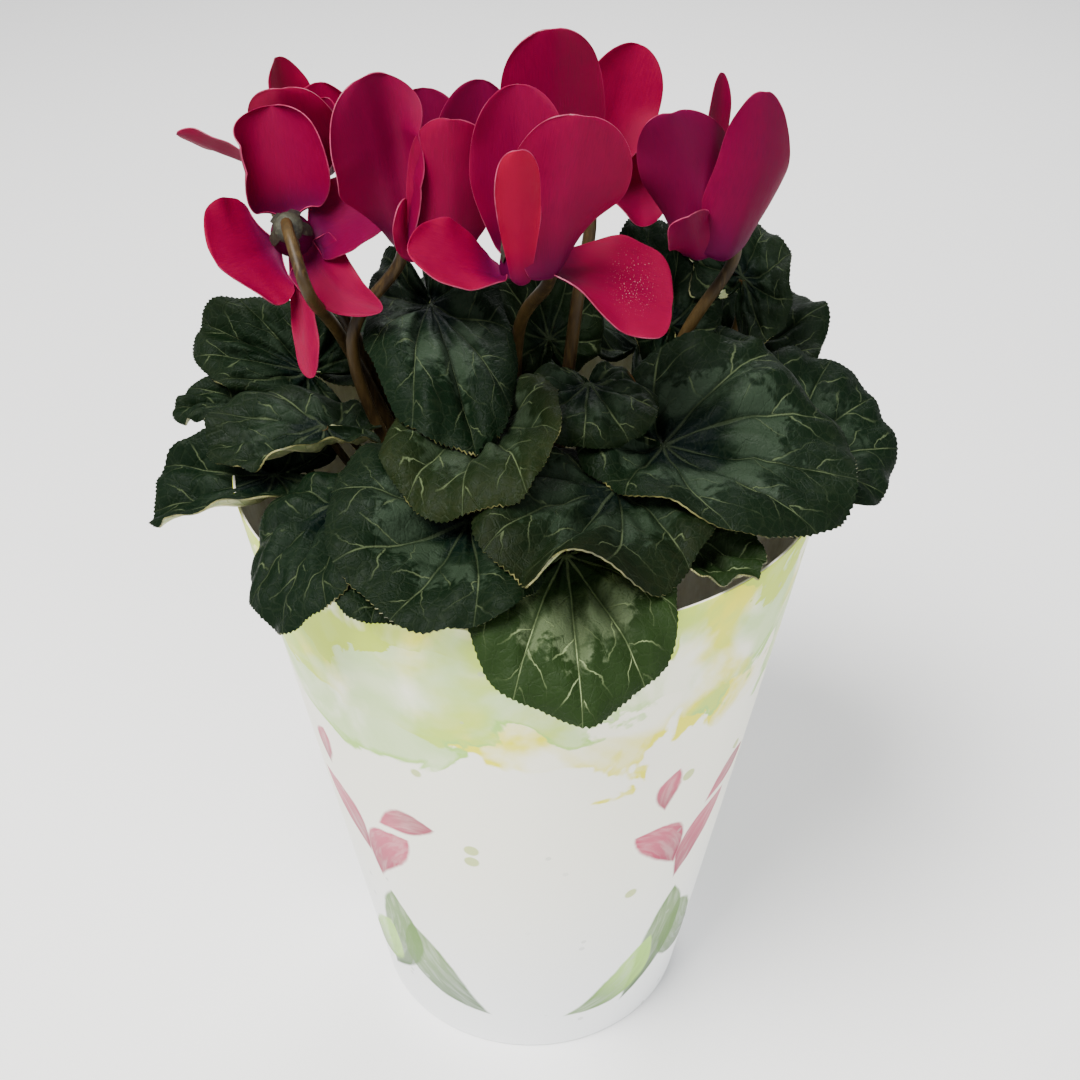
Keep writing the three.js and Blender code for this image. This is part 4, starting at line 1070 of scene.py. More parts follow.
def leaf_top():
    material, shader = new_material("leaf_top", 0.5)
    names = ("ring", "across", "along", "side", "silver", "olive", "fresh", "rust")
    ring, across, along, side, silver, olive, fresh, rust = own_numbers(shader, *names)
    place = own_map(shader, "flat")
    coarse = cloud(place, 0.9, 4, 0.5)
    fine = cloud(place, 4.5, 5, 0.4)
    speck = cloud(place, 18, 4)
    inner = coarse * 0.4 + ring - 0.2
    outer = fine * 0.55 + ring - 0.27 + across.fade(0.0, 5.0) * 0.1
    patch = inner.fade(0.26, 0.46) * outer.fade(0.64, 0.77, 1, 0) * across.fade(0.5, 1.6, 0.35, 1)
    patch = patch * coarse.fade(0.36, 0.52, 0.15, 1) * speck.fade(0.25, 0.6, 0.6, 1) * silver
    main = (across + ring * 0.22 - 0.36).fade(-0.12, 0.16, 1, 0)
    step = ((along - across * 0.85 + side * 2.2 + coarse * 9) * 0.115).maths("FRACT")
    branch = ((step - 0.5).maths("ABSOLUTE") * 6.4).fade(0.06, 0.26, 1, 0)
    branch = branch * across.fade(3.0, 8.0, 1, 0.25)
    veins = branch.maths("MAXIMUM", main)
    net = cells(place, 3.4).fade(0.0, 0.09, 1, 0)
    pale = veins * ring.fade(0.42, 0.6) * coarse.fade(0.40, 0.54, 0.3, 1) * ring.fade(0.84, 0.93, 1, 0.12)
    pale = pale.maths("MAXIMUM", main * 0.3)
    toward = (ring.fade(0.55, 1.0) * fine.fade(0.3, 0.7, 0.3, 0.9) + 0.25) * olive
    ground = mixed(inner.fade(0.1, 0.42), DEEP_GREEN, LEAF_GREEN)
    ground = mixed(toward, ground, OLIVE)
    ground = mixed(inner.fade(0.0, 0.5, 0.35, 1) * fresh, ground, FRESH_GREEN)
    ground = mixed(net * 0.035, ground, VEIN_PALE)
    colour = mixed(patch, ground, mixed(fresh, SILVER, FRESH_SILVER))
    colour = mixed(pale * (fresh * 0.4 + 0.6), colour, mixed(fresh, VEIN_PALE, FRESH_VEIN))
    colour = mixed(rust * fine.fade(0.42, 0.6), colour, RUST)
    wire(shader, {"Base Color": colour, "Roughness": fine.fade(0.3, 0.7, 0.42, 0.62),
                  "Specular IOR Level": 0.06})
    relief(shader, fine * 1.6 + speck - veins * 0.7 - net * 0.35, 0.25 * MM, 0.9)
    return material


LEAF_TOP = leaf_top()
print("leaf material:", LEAF_TOP.name)

# %% [markdown]
# ### Underside and margin
# The underside is pale yellow-green with a raised net of veins, and the cut margin is thin and pale.
# A little light passes through the underside. The veins are the walls of cells in the leaf's own map.

# %% Underside and margin
BACK_GREEN = (0.20, 0.24, 0.10)
BACK_PALE = (0.33, 0.34, 0.16)
NET_GREEN = (0.15, 0.20, 0.075)
RIB_PALE = (0.42, 0.40, 0.22)
EDGE_GREEN = (0.045, 0.05, 0.015)
EDGE_PALE = (0.19, 0.18, 0.06)


def leaf_back():
    material, shader = new_material("leaf_back", 0.55)
    across = own_numbers(shader, "across")[0]
    place = own_map(shader, "flat")
    net = cells(place, 3.4).fade(0.0, 0.1, 1, 0)
    main = across.fade(0.35, 0.8, 1, 0)
    colour = mixed(cloud(place, 2.2, 4).fade(0.35, 0.65), BACK_GREEN, BACK_PALE)
    colour = mixed(net * 0.35, colour, NET_GREEN)
    colour = mixed(main * 0.7, colour, RIB_PALE)
    wire(shader, {"Base Color": colour, "Subsurface Weight": 0.15, "Subsurface Scale": 1,
                  "Subsurface Radius": (0.6 * MM, 0.8 * MM, 0.2 * MM)})
    relief(shader, main.maths("MAXIMUM", net * 0.4), 0.3 * MM)
    return material


def leaf_edge():
    material, shader = new_material("leaf_edge", 0.55)
    tone = cloud(own_map(shader, "flat"), 2.5, 3).fade(0.35, 0.65)
    wire(shader, {"Base Color": mixed(tone, EDGE_GREEN, EDGE_PALE)})
    return material


LEAF_BACK = leaf_back()
LEAF_EDGE = leaf_edge()
print("leaf materials:", LEAF_BACK.name, LEAF_EDGE.name)

# %% [markdown]
# ### Stems and calyx
# Petioles and flower stalks are brown with lengthwise streaks, from a cloud that is drawn out along
# the height. The calyx is nearly black-green with paler specks.

# %% Stem finish
STEM_DARK = (0.020, 0.011, 0.004)
STEM_BROWN = (0.050, 0.030, 0.009)
STEM_STREAK = (0.075, 0.046, 0.014)
CALYX_BLACK = (0.006, 0.005, 0.003)
CALYX_GREEN = (0.020, 0.020, 0.009)
CALYX_SPECK = (0.036, 0.038, 0.020)


def stem_skin():
    material, shader = new_material("stem_skin", 0.48)
    place = own_place(shader)
    streak = cloud(mapped(place, Scale=(1, 1, 0.12)), 900, 3)
    tone = cloud(place, 60, 3).fade(0.35, 0.65)
    colour = mixed(tone, STEM_DARK, STEM_BROWN)
    colour = mixed(streak.fade(0.45, 0.65, 0, 0.5), colour, STEM_STREAK)
    wire(shader, {"Base Color": colour, "Specular IOR Level": 0.2})
    relief(shader, streak, 0.12 * MM, 0.6)
    return material


def calyx_skin():
    material, shader = new_material("calyx_skin", 0.7)
    place = own_place(shader)
    tone = cloud(place, 160, 3).fade(0.35, 0.65)
    colour = mixed(tone, CALYX_BLACK, CALYX_GREEN)
    colour = mixed(cloud(place, 700, 4).fade(0.5, 0.66), colour, CALYX_SPECK)
    wire(shader, {"Base Color": colour})
    relief(shader, cloud(place, 900, 4), 0.25 * MM, 0.8)
    return material


STEM_SKIN = stem_skin()
CALYX_SKIN = calyx_skin()
print("stem materials:", STEM_SKIN.name, CALYX_SKIN.name)

# %% [markdown]
# ## Petioles and stalks
# A stem is a curve with a round bevel whose radius shrinks on the way, turned into a mesh at the end.
# That is how a stem is drawn by hand in Blender too: place a few points, then set the thickness.
# Where each stem stands is read from the lowest corners of its solid.

# %% Stem maker


def foot_of(node):
    solid = corners_of(node)
    lowest = solid[solid[:, 2] < solid[:, 2].min() + 0.01]
    lowest = np.unique(np.round(lowest, 2), axis=0)
    return Vector(lowest.mean(axis=0))


def rod(name, points, radii):
    """A round stem through points in mm."""
    curve = bpy.data.curves.new(name, "CURVE")
    curve.dimensions = "3D"
    curve.bevel_depth = MM
    curve.bevel_resolution = 3
    curve.use_fill_caps = True
    line = curve.splines.new("POLY")
    line.points.add(len(points) - 1)
    for corner, point, radius in zip(line.points, points, radii):
        corner.co = (*(Vector(point) * MM), 1)
        corner.radius = radius
    piece = bpy.data.objects.new(name, curve)
    bpy.context.scene.collection.objects.link(piece)
    pick(piece)
    bpy.ops.object.convert(target="MESH")
    piece = bpy.context.object
    smooth(piece, 60)
    return piece


print("foot of the first leaf in mm:", [round(value, 1) for value in foot_of(LEAVES[0]["name"])])

# %% [markdown]
# ### Petiole
# A petiole rises straight out of its hole in the tuber and arrives at the blade from below and a
# little from behind. A Bezier curve with two handles does this, as it would when drawn by hand.

# %% Petiole
PETIOLE_RADIUS = 1.5
PETIOLE_TAPER = 0.25
PETIOLE_RISE = 0.4
PETIOLE_ARRIVAL = 0.26
PETIOLE_BACK = 0.08
PETIOLE_STEPS = 40
HUB_GAP = 0.9
HOLE_DEPTH = 6


def bezier(a, b, c, d, steps):
    points = []
    for i in range(steps + 1):
        t = i / steps
        s = 1 - t
        points.append(a * s ** 3 + b * 3 * s * s * t + c * 3 * s * t * t + d * t ** 3)
    return points


def petiole(one, hub):
    foot = foot_of(one["name"])
    start = foot + Vector((0, 0, HOLE_DEPTH))
    along, _, up, _ = leaf_frame(one)
    distance = (hub - start).length
    low = start + Vector((0, 0, PETIOLE_RISE * distance))
    arrival = (up + Vector((0, 0, 1))).normalized()
    below = hub - arrival * PETIOLE_ARRIVAL * distance - along * PETIOLE_BACK * distance
    line = [foot, *bezier(start, low, below, hub - arrival * HUB_GAP, PETIOLE_STEPS)]
    count = len(line)
    radii = [PETIOLE_RADIUS * (1 - PETIOLE_TAPER * k / count) for k in range(count)]
    radii[-2:] = [radius * 1.1 for radius in radii[-2:]]
    return rod("petiole", line, radii)


test_line = bezier(Vector((0, 0, 0)), Vector((0, 0, 1)), Vector((0, 1, 1)), Vector((0, 1, 0)), 2)
print("middle of a test curve:", test_line[1][:])

# %% [markdown]
# ## Sheets
# Leaves and petals both start as flat sheets that are modelled once. A copy gets its corners moved,
# the numbers that its finish reads, and a map. A map could be unwrapped by hand, but here every
# corner's place on the flat sheet is known already.

# %% Helpers for sheets


def copied(sheet, points):
    """A copy of a flat sheet with its corners moved to points in mm."""
    piece = sheet.copy()
    piece.data = sheet.data.copy()
    bpy.context.scene.collection.objects.link(piece)
    piece.data.vertices.foreach_set("co", (points * MM).astype(np.float32).ravel())
    return piece


def add_numbers(piece, **numbers):
    """Named numbers for the corners: each is one value for all, or an array of values."""
    for name, values in numbers.items():
        attribute = piece.data.attributes.new(name, "FLOAT", "POINT")
        values = np.broadcast_to(np.ravel(values), len(piece.data.vertices))
        attribute.data.foreach_set("value", values.astype(np.float32))


def add_map(piece, name, u, v):
    layer = piece.data.uv_layers.new(name=name)
    corner_index = np.zeros(len(piece.data.loops), int)
    piece.data.loops.foreach_get("vertex_index", corner_index)
    pairs = np.stack([np.ravel(u), np.ravel(v)], axis=1)[corner_index]
    layer.data.foreach_set("uv", pairs.astype(np.float32).ravel())

# %% [markdown]
# ## Making the leaves
# Each leaf is a copy of the disc with its corners moved to the blade's grid. Solidify gives the blade
# its thickness and, at the same time, other materials for the underside and for the cut margin. The
# petiole is joined on, and the whole leaf stands for its solid.

# %% Leaves
BLADE_THICKNESS = 0.45
RUSTY = {"leaf_centre": 0.5}
LEAF_MAP_STEP = (17.3, 9.1)


def make_leaf(one, number):
    points, distance, side, reach = grids[one["name"]]
    piece = copied(disc, points[ring_of, spoke_of])
    u, v = laid_flat(one, reach)
    u = u / 10 + LEAF_MAP_STEP[0] * number
    v = v / 10 + LEAF_MAP_STEP[1] * number
    add_map(piece, "flat", u[ring_of, spoke_of], v[ring_of, spoke_of])
    rust = RUSTY.get(one["name"], 0) * np.clip((ring_grid - 0.86) * 8, 0, 1)
    rust = rust * np.clip(np.sin(2 * turn_grid + number) * 6 - 5, 0, 1)
    grids_of = {"ring": ring_grid, "across": distance, "along": reach * mean_size(one), "side": side,
                "rust": rust}
    add_numbers(piece, **{name: grid[ring_of, spoke_of] for name, grid in grids_of.items()})
    add_numbers(piece, silver=one["silver"], olive=one["olive"], fresh=one["fresh"])
    coat(piece, LEAF_TOP, LEAF_BACK, LEAF_EDGE)
    thicken(piece, BLADE_THICKNESS * MM, back=1, rim=2)
    smooth(piece, 50)
    stem = petiole(one, Vector(points[0, 0]))
    coat(stem, STEM_SKIN)
    piece = join([piece, stem], one["name"].replace("leaf", "blade"))
    return dress(piece, piece.name, "leaf", one["name"])


leaf_faces = 0
for number, one in enumerate(LEAVES):
    made = make_leaf(one, number)
    leaf_faces += len(made.data.polygons)
bpy.data.objects.remove(disc)
print("leaf faces:", leaf_faces)

# %% [markdown]
# ## Blooms: what is known
# A cyclamen bloom hangs mouth down from a hooked stalk, with five petals swept back over its short
# tube. For each bloom the list gives the mouth, the axis from mouth to calyx, the side that the stalk
# comes from and where it passes above the leaves. A petal's lean is its angle from the axis: 0 is
# swept right back and 90 stands straight out. Cup hollows it, neck and widest shape its sides, tip
# makes its end blunt or pointed, bow pushes its middle aside, and a margin may be rolled over.
# Painted shade darkens a petal where it lies in shade; below zero it is a painted highlight that
# brightens it.

# %% Bloom list
OVERHEAD_HOOK = [(12, -6), (9.5, 6), (8, 14), (4.2, 18.5), (0, 14.5)]
FACING_HOOK = [(20, 20), (9, 20.5), (3.6, 18.5), (0, 14.5)]
UPRIGHT = (0, 0, 1)


def petal(azimuth, lean, twist, length, width, curl, shade, cup=0.27, neck=0.4, tip=2.3,
          widest=0.58, left=0, right=0, bow=0):
    """Left and right are turns in degrees by which a margin is rolled out of the petal's face."""
    return dict(locals())


def bloom(name, mouth, axis, stalk_side, via, hook, petals):
    row = dict(locals())
    row.update(mouth=Vector(mouth), axis=Vector(axis).normalized(), via=Vector(via))
    return row


# The seventh number of each petal is its painted shade; below zero it is a painted highlight.
BLOOMS = [
    bloom("left", (-66, 4, 283), (0.05, -0.8, 0.6), 288, (-54, 4, 250), FACING_HOOK, [
        petal(98, 62, -10, 31, 38, 10, 0.3, right=45, neck=0.7, cup=0.6, widest=0.5),
        petal(14, 54, -25, 31, 26, 12, 0.8, neck=0.75, widest=0.5),
        petal(212, 42, 5, 22, 36, 10, 0.05, neck=0.9),
        petal(279, 72, 30, 37, 8, 6, 0.1, neck=0.5, widest=0.78),
        petal(318, 58, 0, 32, 18, 8, 0.2, neck=1, tip=1.0, widest=0.3, bow=-3)]),
    bloom("left_behind", (-65, 32, 291), (-0.1, 0, 1), 212, (-54, 13, 252), OVERHEAD_HOOK, [
        petal(182, 58, 35, 34, 15, 2, 0.25),
        petal(110, 0, 50, 34, 20, 2, 0.05),
        petal(46, 0, 40, 27, 20, 4, 0.2),
        petal(340, 2, 60, 26, 18, 6, 0.4),
        petal(272, 2, -10, 34, 27, 6, 0.1, neck=0.6)]),
    bloom("middle_left", (-25, -13, 286.5), UPRIGHT, 146, (-50, -7, 256), OVERHEAD_HOOK, [
        petal(208, 2, 112, 54, 30, 4, 0.4, right=-105, cup=0.1, neck=0.3, widest=0.68),
        petal(232, 2, 84, 22, 5, 2, 0, widest=0.7, bow=-2),
        petal(300, 2, -35, 44, 27, 2, 0.15, cup=0.35, neck=0.5),
        petal(30, 4, 60, 48, 24, 6, 0.7),
        petal(100, 0, -10, 44, 26, 6, 0.7)]),
    bloom("front", (-1, -39, 293), UPRIGHT, 54, (-3, 0, 254), OVERHEAD_HOOK, [
        petal(268, 3, 20, 44, 12, 2, -0.6, widest=0.72, neck=0.3),
        petal(330, 4, -60, 47, 31, 5, 0.25, neck=0.5),
        petal(5, 104, 35, 36, 30, 2, 0.05, tip=4, widest=0.6, neck=0.5),
        petal(94, 0, -4, 46, 26, 2, 0.35, cup=0.3),
        petal(200, 58, -25, 27, 24, 4, 0.0, tip=1.5, neck=0.6)]),
    bloom("top", (10, 14, 293), UPRIGHT, 308, (14, -2, 266), OVERHEAD_HOOK, [
        petal(258, 0, 14, 54, 29, 4, 0.25),
        petal(14, 86, 50, 26, 27, 4, 0.3),
        petal(20, 14, 70, 44, 24, 6, 0.1),
        petal(100, 2, -20, 42, 24, 6, 0.4),
        petal(178, 52, -55, 48, 26, 2, 0.85)]),
    bloom("right", (50, 1, 281), (0.05, 0, 1), 40, (46, 8, 250), OVERHEAD_HOOK, [
        petal(215, 10, 60, 46, 30, 4, 0.65, cup=0.5, neck=0.5, bow=4),
        petal(245, 30, 50, 24, 15, 4, 0.5),
        petal(297, 0, -20, 54, 26, 3, 0.55, cup=0.5, tip=1.4, widest=0.42, neck=0.7, bow=3),
        petal(90, 0, 40, 49, 9, 2, 0.5),
        petal(120, 0, -30, 28, 16, 6, 0.5)]),
]
print("blooms:", len(BLOOMS), "petals:", sum(len(one["petals"]) for one in BLOOMS))

# %% [markdown]
# ## Petal and calyx finish
# The petals are crimson, velvety and streaked lengthwise, with a purple cast near the throat and a
# hair-thin pale margin. Two skins share a recipe: the back is a lighter copy that takes less of the
# painted shade, a painted highlight on that side of the petals.
# Light shines through them a little, which subsurface scattering gives. The streaks come from a cloud
# texture stretched along the petal's own map.

# %% Petal finish
# The first colour is the painted highlight; purple serves both the cast near the throat and the painted
# shade.
SCARLET = (0.29, 0.0001, 0.022)
CRIMSON = (0.185, 0.0001, 0.023)
WINE = (0.115, 0.0001, 0.016)
ROSE = (0.19, 0.0001, 0.024)
PLUM = (0.13, 0.0001, 0.02)
PURPLE = (0.045, 0.0001, 0.024)
PALE_PINK = (0.32, 0.02, 0.08)
DUST_PINK = (0.60, 0.34, 0.36)
MARGIN_RED = (0.18, 0.001, 0.03)


def petal_skin(name, streaked, plain, shading):
    material, shader = new_material(name, 0.6)
    place = own_map(shader, "petal")
    names = ("far", "beside", "bright", "shade", "dust")
    far, beside, bright, shade, dust = own_numbers(shader, *names)
    streak = cloud(mapped(place, Scale=(14, 1.2, 1)), 2.2, 4, 0.3)
    colour = mixed(streak.fade(0.25, 0.75, 0.3, 1), streaked, plain)
    colour = mixed(cloud(place, 1.1, 3).fade(0.35, 0.65, 0.0, 0.35), colour, plain)
    # Painted highlight: a petal whose painted shade is below zero is lightened towards scarlet.
    colour = mixed(bright, colour, SCARLET)
    colour = mixed(far.fade(0.06, 0.38, 0.8, 0.0), colour, PURPLE)
    # Painted shade: the petal is darkened towards purple, on the back skin a little less.
    colour = mixed(shade * shading, colour, PURPLE)
    colour = mixed(beside.fade(0.05, 0.25, 0.25, 0.0), colour, PALE_PINK)
    colour = mixed(dust * cloud(place, 22, 4).fade(0.62, 0.72), colour, DUST_PINK)
    wire(shader, {"Base Color": colour, "Roughness": streak.fade(0.3, 0.7, 0.5, 0.66),
                  "Specular IOR Level": 0.06, "Subsurface Weight": 0.12, "Subsurface Scale": 1,
                  "Subsurface Radius": (2.0 * MM, 0.1 * MM, 0.4 * MM)})
    relief(shader, streak, 0.08 * MM, 0.4)
    return material


def petal_edge():
    material, shader = new_material("petal_edge", 0.5)
    tone = cloud(own_map(shader, "petal"), 3, 3).fade(0.35, 0.65)
    wire(shader, {"Base Color": mixed(tone, MARGIN_RED, PALE_PINK)})
    return material


PETAL_SKIN = petal_skin("petal_skin", WINE, CRIMSON, 1.0)
# Lit copy: lighter colours and less painted shade, a painted highlight on the back of the petals.
PETAL_BACK = petal_skin("petal_back", PLUM, ROSE, 0.8)
PETAL_EDGE = petal_edge()
print("petal materials:", PETAL_SKIN.name, PETAL_BACK.name, PETAL_EDGE.name)

# %% [markdown]
# ## Petals: sheet and middle line
# A petal starts as a flat grid. One direction of the grid runs from the tube to the tip, the other
# across, and its columns crowd towards the margins, where form and colour change fastest. The middle
# line leaves the tube's mouth, turns sharply back and then curls gently.

# %% Petal sheet
PETAL_LENGTHS = 64
PETAL_WIDTHS = 28
PETAL_STEPS = 60
PETAL_TURN_RADIUS = 3.2
TUBE_MOUTH_RADIUS = 6
TUBE_WALL = 1
FLARE_START = 60

petal_sheet = primitive(
    bpy.ops.mesh.primitive_grid_add, x_subdivisions=PETAL_WIDTHS, y_subdivisions=PETAL_LENGTHS, size=2)
sheet_flat = np.array([corner.co[:] for corner in petal_sheet.data.vertices])
sheet_flat = sheet_flat.reshape(PETAL_LENGTHS + 1, PETAL_WIDTHS + 1, 3)
sheet_across = np.sin(sheet_flat[..., 0] * math.pi / 2)
sheet_far = (sheet_flat[..., 1] + 1) / 2
sheet_far = 1 - (1 - sheet_far) ** 1.25
print("petal rows start at the tube:", bool(np.ptp(sheet_far, axis=1).max() < 1e-6))


def bloom_frame(one):
    axis = one["axis"]
    right = Vector((1, 0, 0))
    right = (right - axis * right.dot(axis)).normalized()
    return axis, right, axis.cross(right)


def petal_line(one, row):
    """Points of the middle line in mm with the petal's own directions at each."""
    axis, right, back = bloom_frame(one)
    azimuth = math.radians(row["azimuth"])
    radial = right * math.cos(azimuth) + back * math.sin(azimuth)
    stop = math.radians(180 - row["lean"])
    step = row["length"] / PETAL_STEPS
    turn_step = step / PETAL_TURN_RADIUS
    bend_step = math.radians(row["curl"]) / PETAL_STEPS
    angles = [math.radians(FLARE_START)]
    for i in range(PETAL_STEPS):
        turning = angles[-1] < stop - turn_step and i / PETAL_STEPS < 0.5
        angles.append(angles[-1] + (turn_step if turning else -bend_step))
    for _ in range(3):
        inner = [(a + 2 * b + c) / 4 for a, b, c in zip(angles, angles[1:], angles[2:])]
        angles = [angles[0], *inner, angles[-1]]
    fine = np.interp(np.linspace(0, PETAL_STEPS, 4 * PETAL_STEPS + 1), range(PETAL_STEPS + 1), angles)
    axis = np.array(axis)
    radial = np.array(radial)
    along = np.outer(-np.cos(fine), axis) + np.outer(np.sin(fine), radial)
    face = np.outer(np.sin(fine), axis) + np.outer(np.cos(fine), radial)
    start = np.array(one["mouth"]) + radial * (TUBE_MOUTH_RADIUS - TUBE_WALL)
    travel = np.vstack([np.zeros(3), np.cumsum(along[:-1] * step / 4, axis=0)])
    return start + travel, face, np.cross(axis, radial)


print("points on a middle line:", len(petal_line(BLOOMS[0], BLOOMS[0]["petals"][0])[0]))

# %% [markdown]
# ### Petal width and cross-section
# The width swells from a neck to the widest place and rounds off at the tip. The way across is laid
# out step by step from the middle line: each step has a slope of its own, so a petal can be hollowed
# gently and its margin rolled right over. Moving single corners by hand could not roll it so evenly.

# %% Petal width
THROAT_HALF = 4
THROAT_FLARE = 2.6


def ease(share):
    """From 0 to 1 with a soft start and a soft end."""
    held = np.clip(share, 0, 1)
    return held * held * (3 - 2 * held)


def petal_half_width(row):
    swell = np.minimum(1, sheet_far / row["widest"])
    rounded = 0.5 * ease(swell) + 0.5 * np.sin(swell * math.pi / 2)
    neck = row["neck"] + (1 - row["neck"]) * rounded
    past = np.maximum(0, (sheet_far - row["widest"]) / (1 - row["widest"]))
    half = row["width"] / 2 * neck * np.sqrt(np.maximum(0, 1 - past ** row["tip"]))
    throat = THROAT_HALF + THROAT_FLARE * sheet_far * row["length"]
    return half * throat / (half ** 4 + throat ** 4) ** 0.25


def from_middle(steps):
    """Add up steps across the petal, counted from its middle column."""
    total = np.concatenate([np.zeros((len(steps), 1)), np.cumsum(steps, axis=1)], axis=1)
    return total - total[:, PETAL_WIDTHS // 2, None]


def cross_section(row, half):
    """How far each corner lies beside the middle line, and how far out of the petal's face."""
    slope = 2 * row["cup"] * sheet_across
    grown = np.clip(sheet_far * 2.5 - 0.2, 0, 1) * np.clip((0.95 - sheet_far) / 0.25, 0, 1)
    for side, roll in ((-1, row["left"]), (1, row["right"])):
        reach = ease((side * sheet_across - 0.2) / 0.45)
        slope = slope + side * math.radians(roll) * reach * grown
    step = np.diff(sheet_across, axis=1)
    between = (slope[:, 1:] + slope[:, :-1]) / 2
    beside = from_middle(np.cos(between) * step) * half
    out = from_middle(np.sin(between) * step) * half
    return beside, out


print("widest first petal in mm:", round(2 * petal_half_width(BLOOMS[0]["petals"][0]).max(), 1))

# %% [markdown]
# ### Petal form
# The blade twists like a propeller on its way to the tip. Its margin ripples, a groove runs along the
# middle, and the lip turns down a little. Chance shifts these, so that no two petals are the same.

# %% Petal form
TWIST_SWING = 6
MARGIN_WAVER = 0.03
RIPPLE = 0.8
FINE_RIPPLE = 0.35
GROOVE_DEPTH = 0.6
GROOVE_WIDTH = 2.2
LIP_TURN = 0.5


def petal_points(one, row, chance):
    line, face, cross = petal_line(one, row)
    stations = sheet_far * (len(line) - 1)
    low = np.minimum(stations.astype(int), len(line) - 2)
    share = (stations - low)[..., None]
    middle = line[low] * (1 - share) + line[low + 1] * share
    facing = face[low] * (1 - share) + face[low + 1] * share
    swing = chance.uniform(-TWIST_SWING, TWIST_SWING) * np.sin(math.pi * sheet_far)
    angle = np.radians(row["twist"] * ease(sheet_far * 1.5) + swing)
    sideways = np.cos(angle)[..., None] * cross + np.sin(angle)[..., None] * facing
    outward = np.cos(angle)[..., None] * facing - np.sin(angle)[..., None] * cross
    half = petal_half_width(row)
    half = half * (1 + MARGIN_WAVER * np.sin(7 * sheet_far + chance.uniform(0, 6) + 1.5 * sheet_across))
    beside, out = cross_section(row, half)
    ripple_turn = chance.uniform(0, 6)
    ripple = RIPPLE * np.sin(8 * sheet_far + ripple_turn + 1.4 * np.sign(sheet_across))
    ripple = ripple + FINE_RIPPLE * np.sin(19 * sheet_far + 2 * ripple_turn)
    grown = np.clip(sheet_far * 3 - 0.6, 0, 1) * np.clip(half / 6, 0, 1)
    ripple = ripple * np.abs(sheet_across) ** 3 * grown
    groove = -GROOVE_DEPTH * np.exp(-(beside / GROOVE_WIDTH) ** 2) * np.clip(1.2 - sheet_far, 0, 1)
    lip = -LIP_TURN * np.abs(sheet_across) ** 10 * grown
    beside = beside + row["bow"] * np.sin(math.pi * sheet_far ** 1.3)
    out = out + ripple + groove + lip
    return middle + sideways * beside[..., None] + outward * out[..., None], half


first_points = petal_points(BLOOMS[0], BLOOMS[0]["petals"][0], np.random.default_rng(0))[0]
print("corners in one petal:", first_points.size // 3)

# %% [markdown]
# ### A whole petal
# The finished sheet carries the numbers that the finish reads: how far a corner is from the tube and
# from the margin, how much painted shade or painted highlight it gets, and where a few petals are
# dusty. Solidify makes it a thin body whose back and rim have materials of their own.

# %% Petal maker
PETAL_THICKNESS = 0.3
PETAL_MAP_STEP = (3.7, 1.9)
DUSTY_LEAN = 95


def make_petal(one, row, seed):
    points, half = petal_points(one, row, np.random.default_rng(seed))
    piece = copied(petal_sheet, points)
    u = half * sheet_across / 10 + PETAL_MAP_STEP[0] * seed
    v = sheet_far * row["length"] / 10 + PETAL_MAP_STEP[1] * seed
    add_map(piece, "petal", u, v)
    to_margin = np.minimum(half * (1 - np.abs(sheet_across)), (1 - sheet_far) * row["length"])
    spot = np.exp(-((sheet_far - 0.68) / 0.13) ** 2 - ((sheet_across - 0.2) / 0.45) ** 2)
    # Painted shade down the middle of each petal, deepest towards the tube.
    depth = 0.2 * (1 - sheet_across ** 2) * np.clip(1.3 - sheet_far, 0, 1)
    # Painted shade for each petal, growing towards the tip, and a painted highlight where it is below zero.
    shade = max(0, row["shade"]) * (0.5 + 0.5 * sheet_far) + depth
    add_numbers(piece, far=sheet_far, beside=to_margin, dust=spot * (row["lean"] > DUSTY_LEAN),
                shade=np.clip(shade, 0, 1), bright=max(0, -row["shade"]))
    edit(piece)
    bpy.ops.mesh.remove_doubles(threshold=0.002 * MM)
    leave_edit()
    coat(piece, PETAL_SKIN, PETAL_BACK, PETAL_EDGE)
    thicken(piece, PETAL_THICKNESS * MM, back=1, rim=2)
    smooth(piece, 50)
    return piece

# %% [markdown]
# ## Tube and calyx
# The five petals join in a short barrel-shaped tube. It is spun from a profile, turned onto the
# bloom's axis and joined to its petals. The calyx behind it is a small cup with five pointed sepals
# that lie on the tube. Each sepal is a small grid wrapped round the tube.

# %% Tube and calyx
TUBE_LENGTH = 9
TUBE_PROFILE = [
    (0, 9), (2.6, 8.9), (4.2, 8.2), (5.0, 6.6), (5.5, 4.4), (5.8, 2.2), (6.0, 0.3), (5.9, -0.5),
    (5.4, -0.6), (5.1, 0.2), (4.9, 2.4), (4.5, 4.8), (3.9, 6.8), (2.2, 7.8), (0, 8),
]
CALYX_PROFILE = [
    (0, 9.3), (3.6, 9.3), (4.3, 9.6), (4.2, 10.4), (3.6, 11.3), (2.6, 12.0), (1.6, 12.4), (0, 12.5)]
SEPALS = 5
SEPAL_LENGTH = 7.5
SEPAL_WIDTH = 4.4
SEPAL_THICKNESS = 0.35
SEPAL_START = 10.6


def set_on_axis(piece, one):
    turn = Vector((0, 0, 1)).rotation_difference(one["axis"]).to_matrix().to_4x4()
    piece.data.transform(turn)
    for corner in piece.data.vertices:
        corner.co += one["mouth"] * MM
    return piece


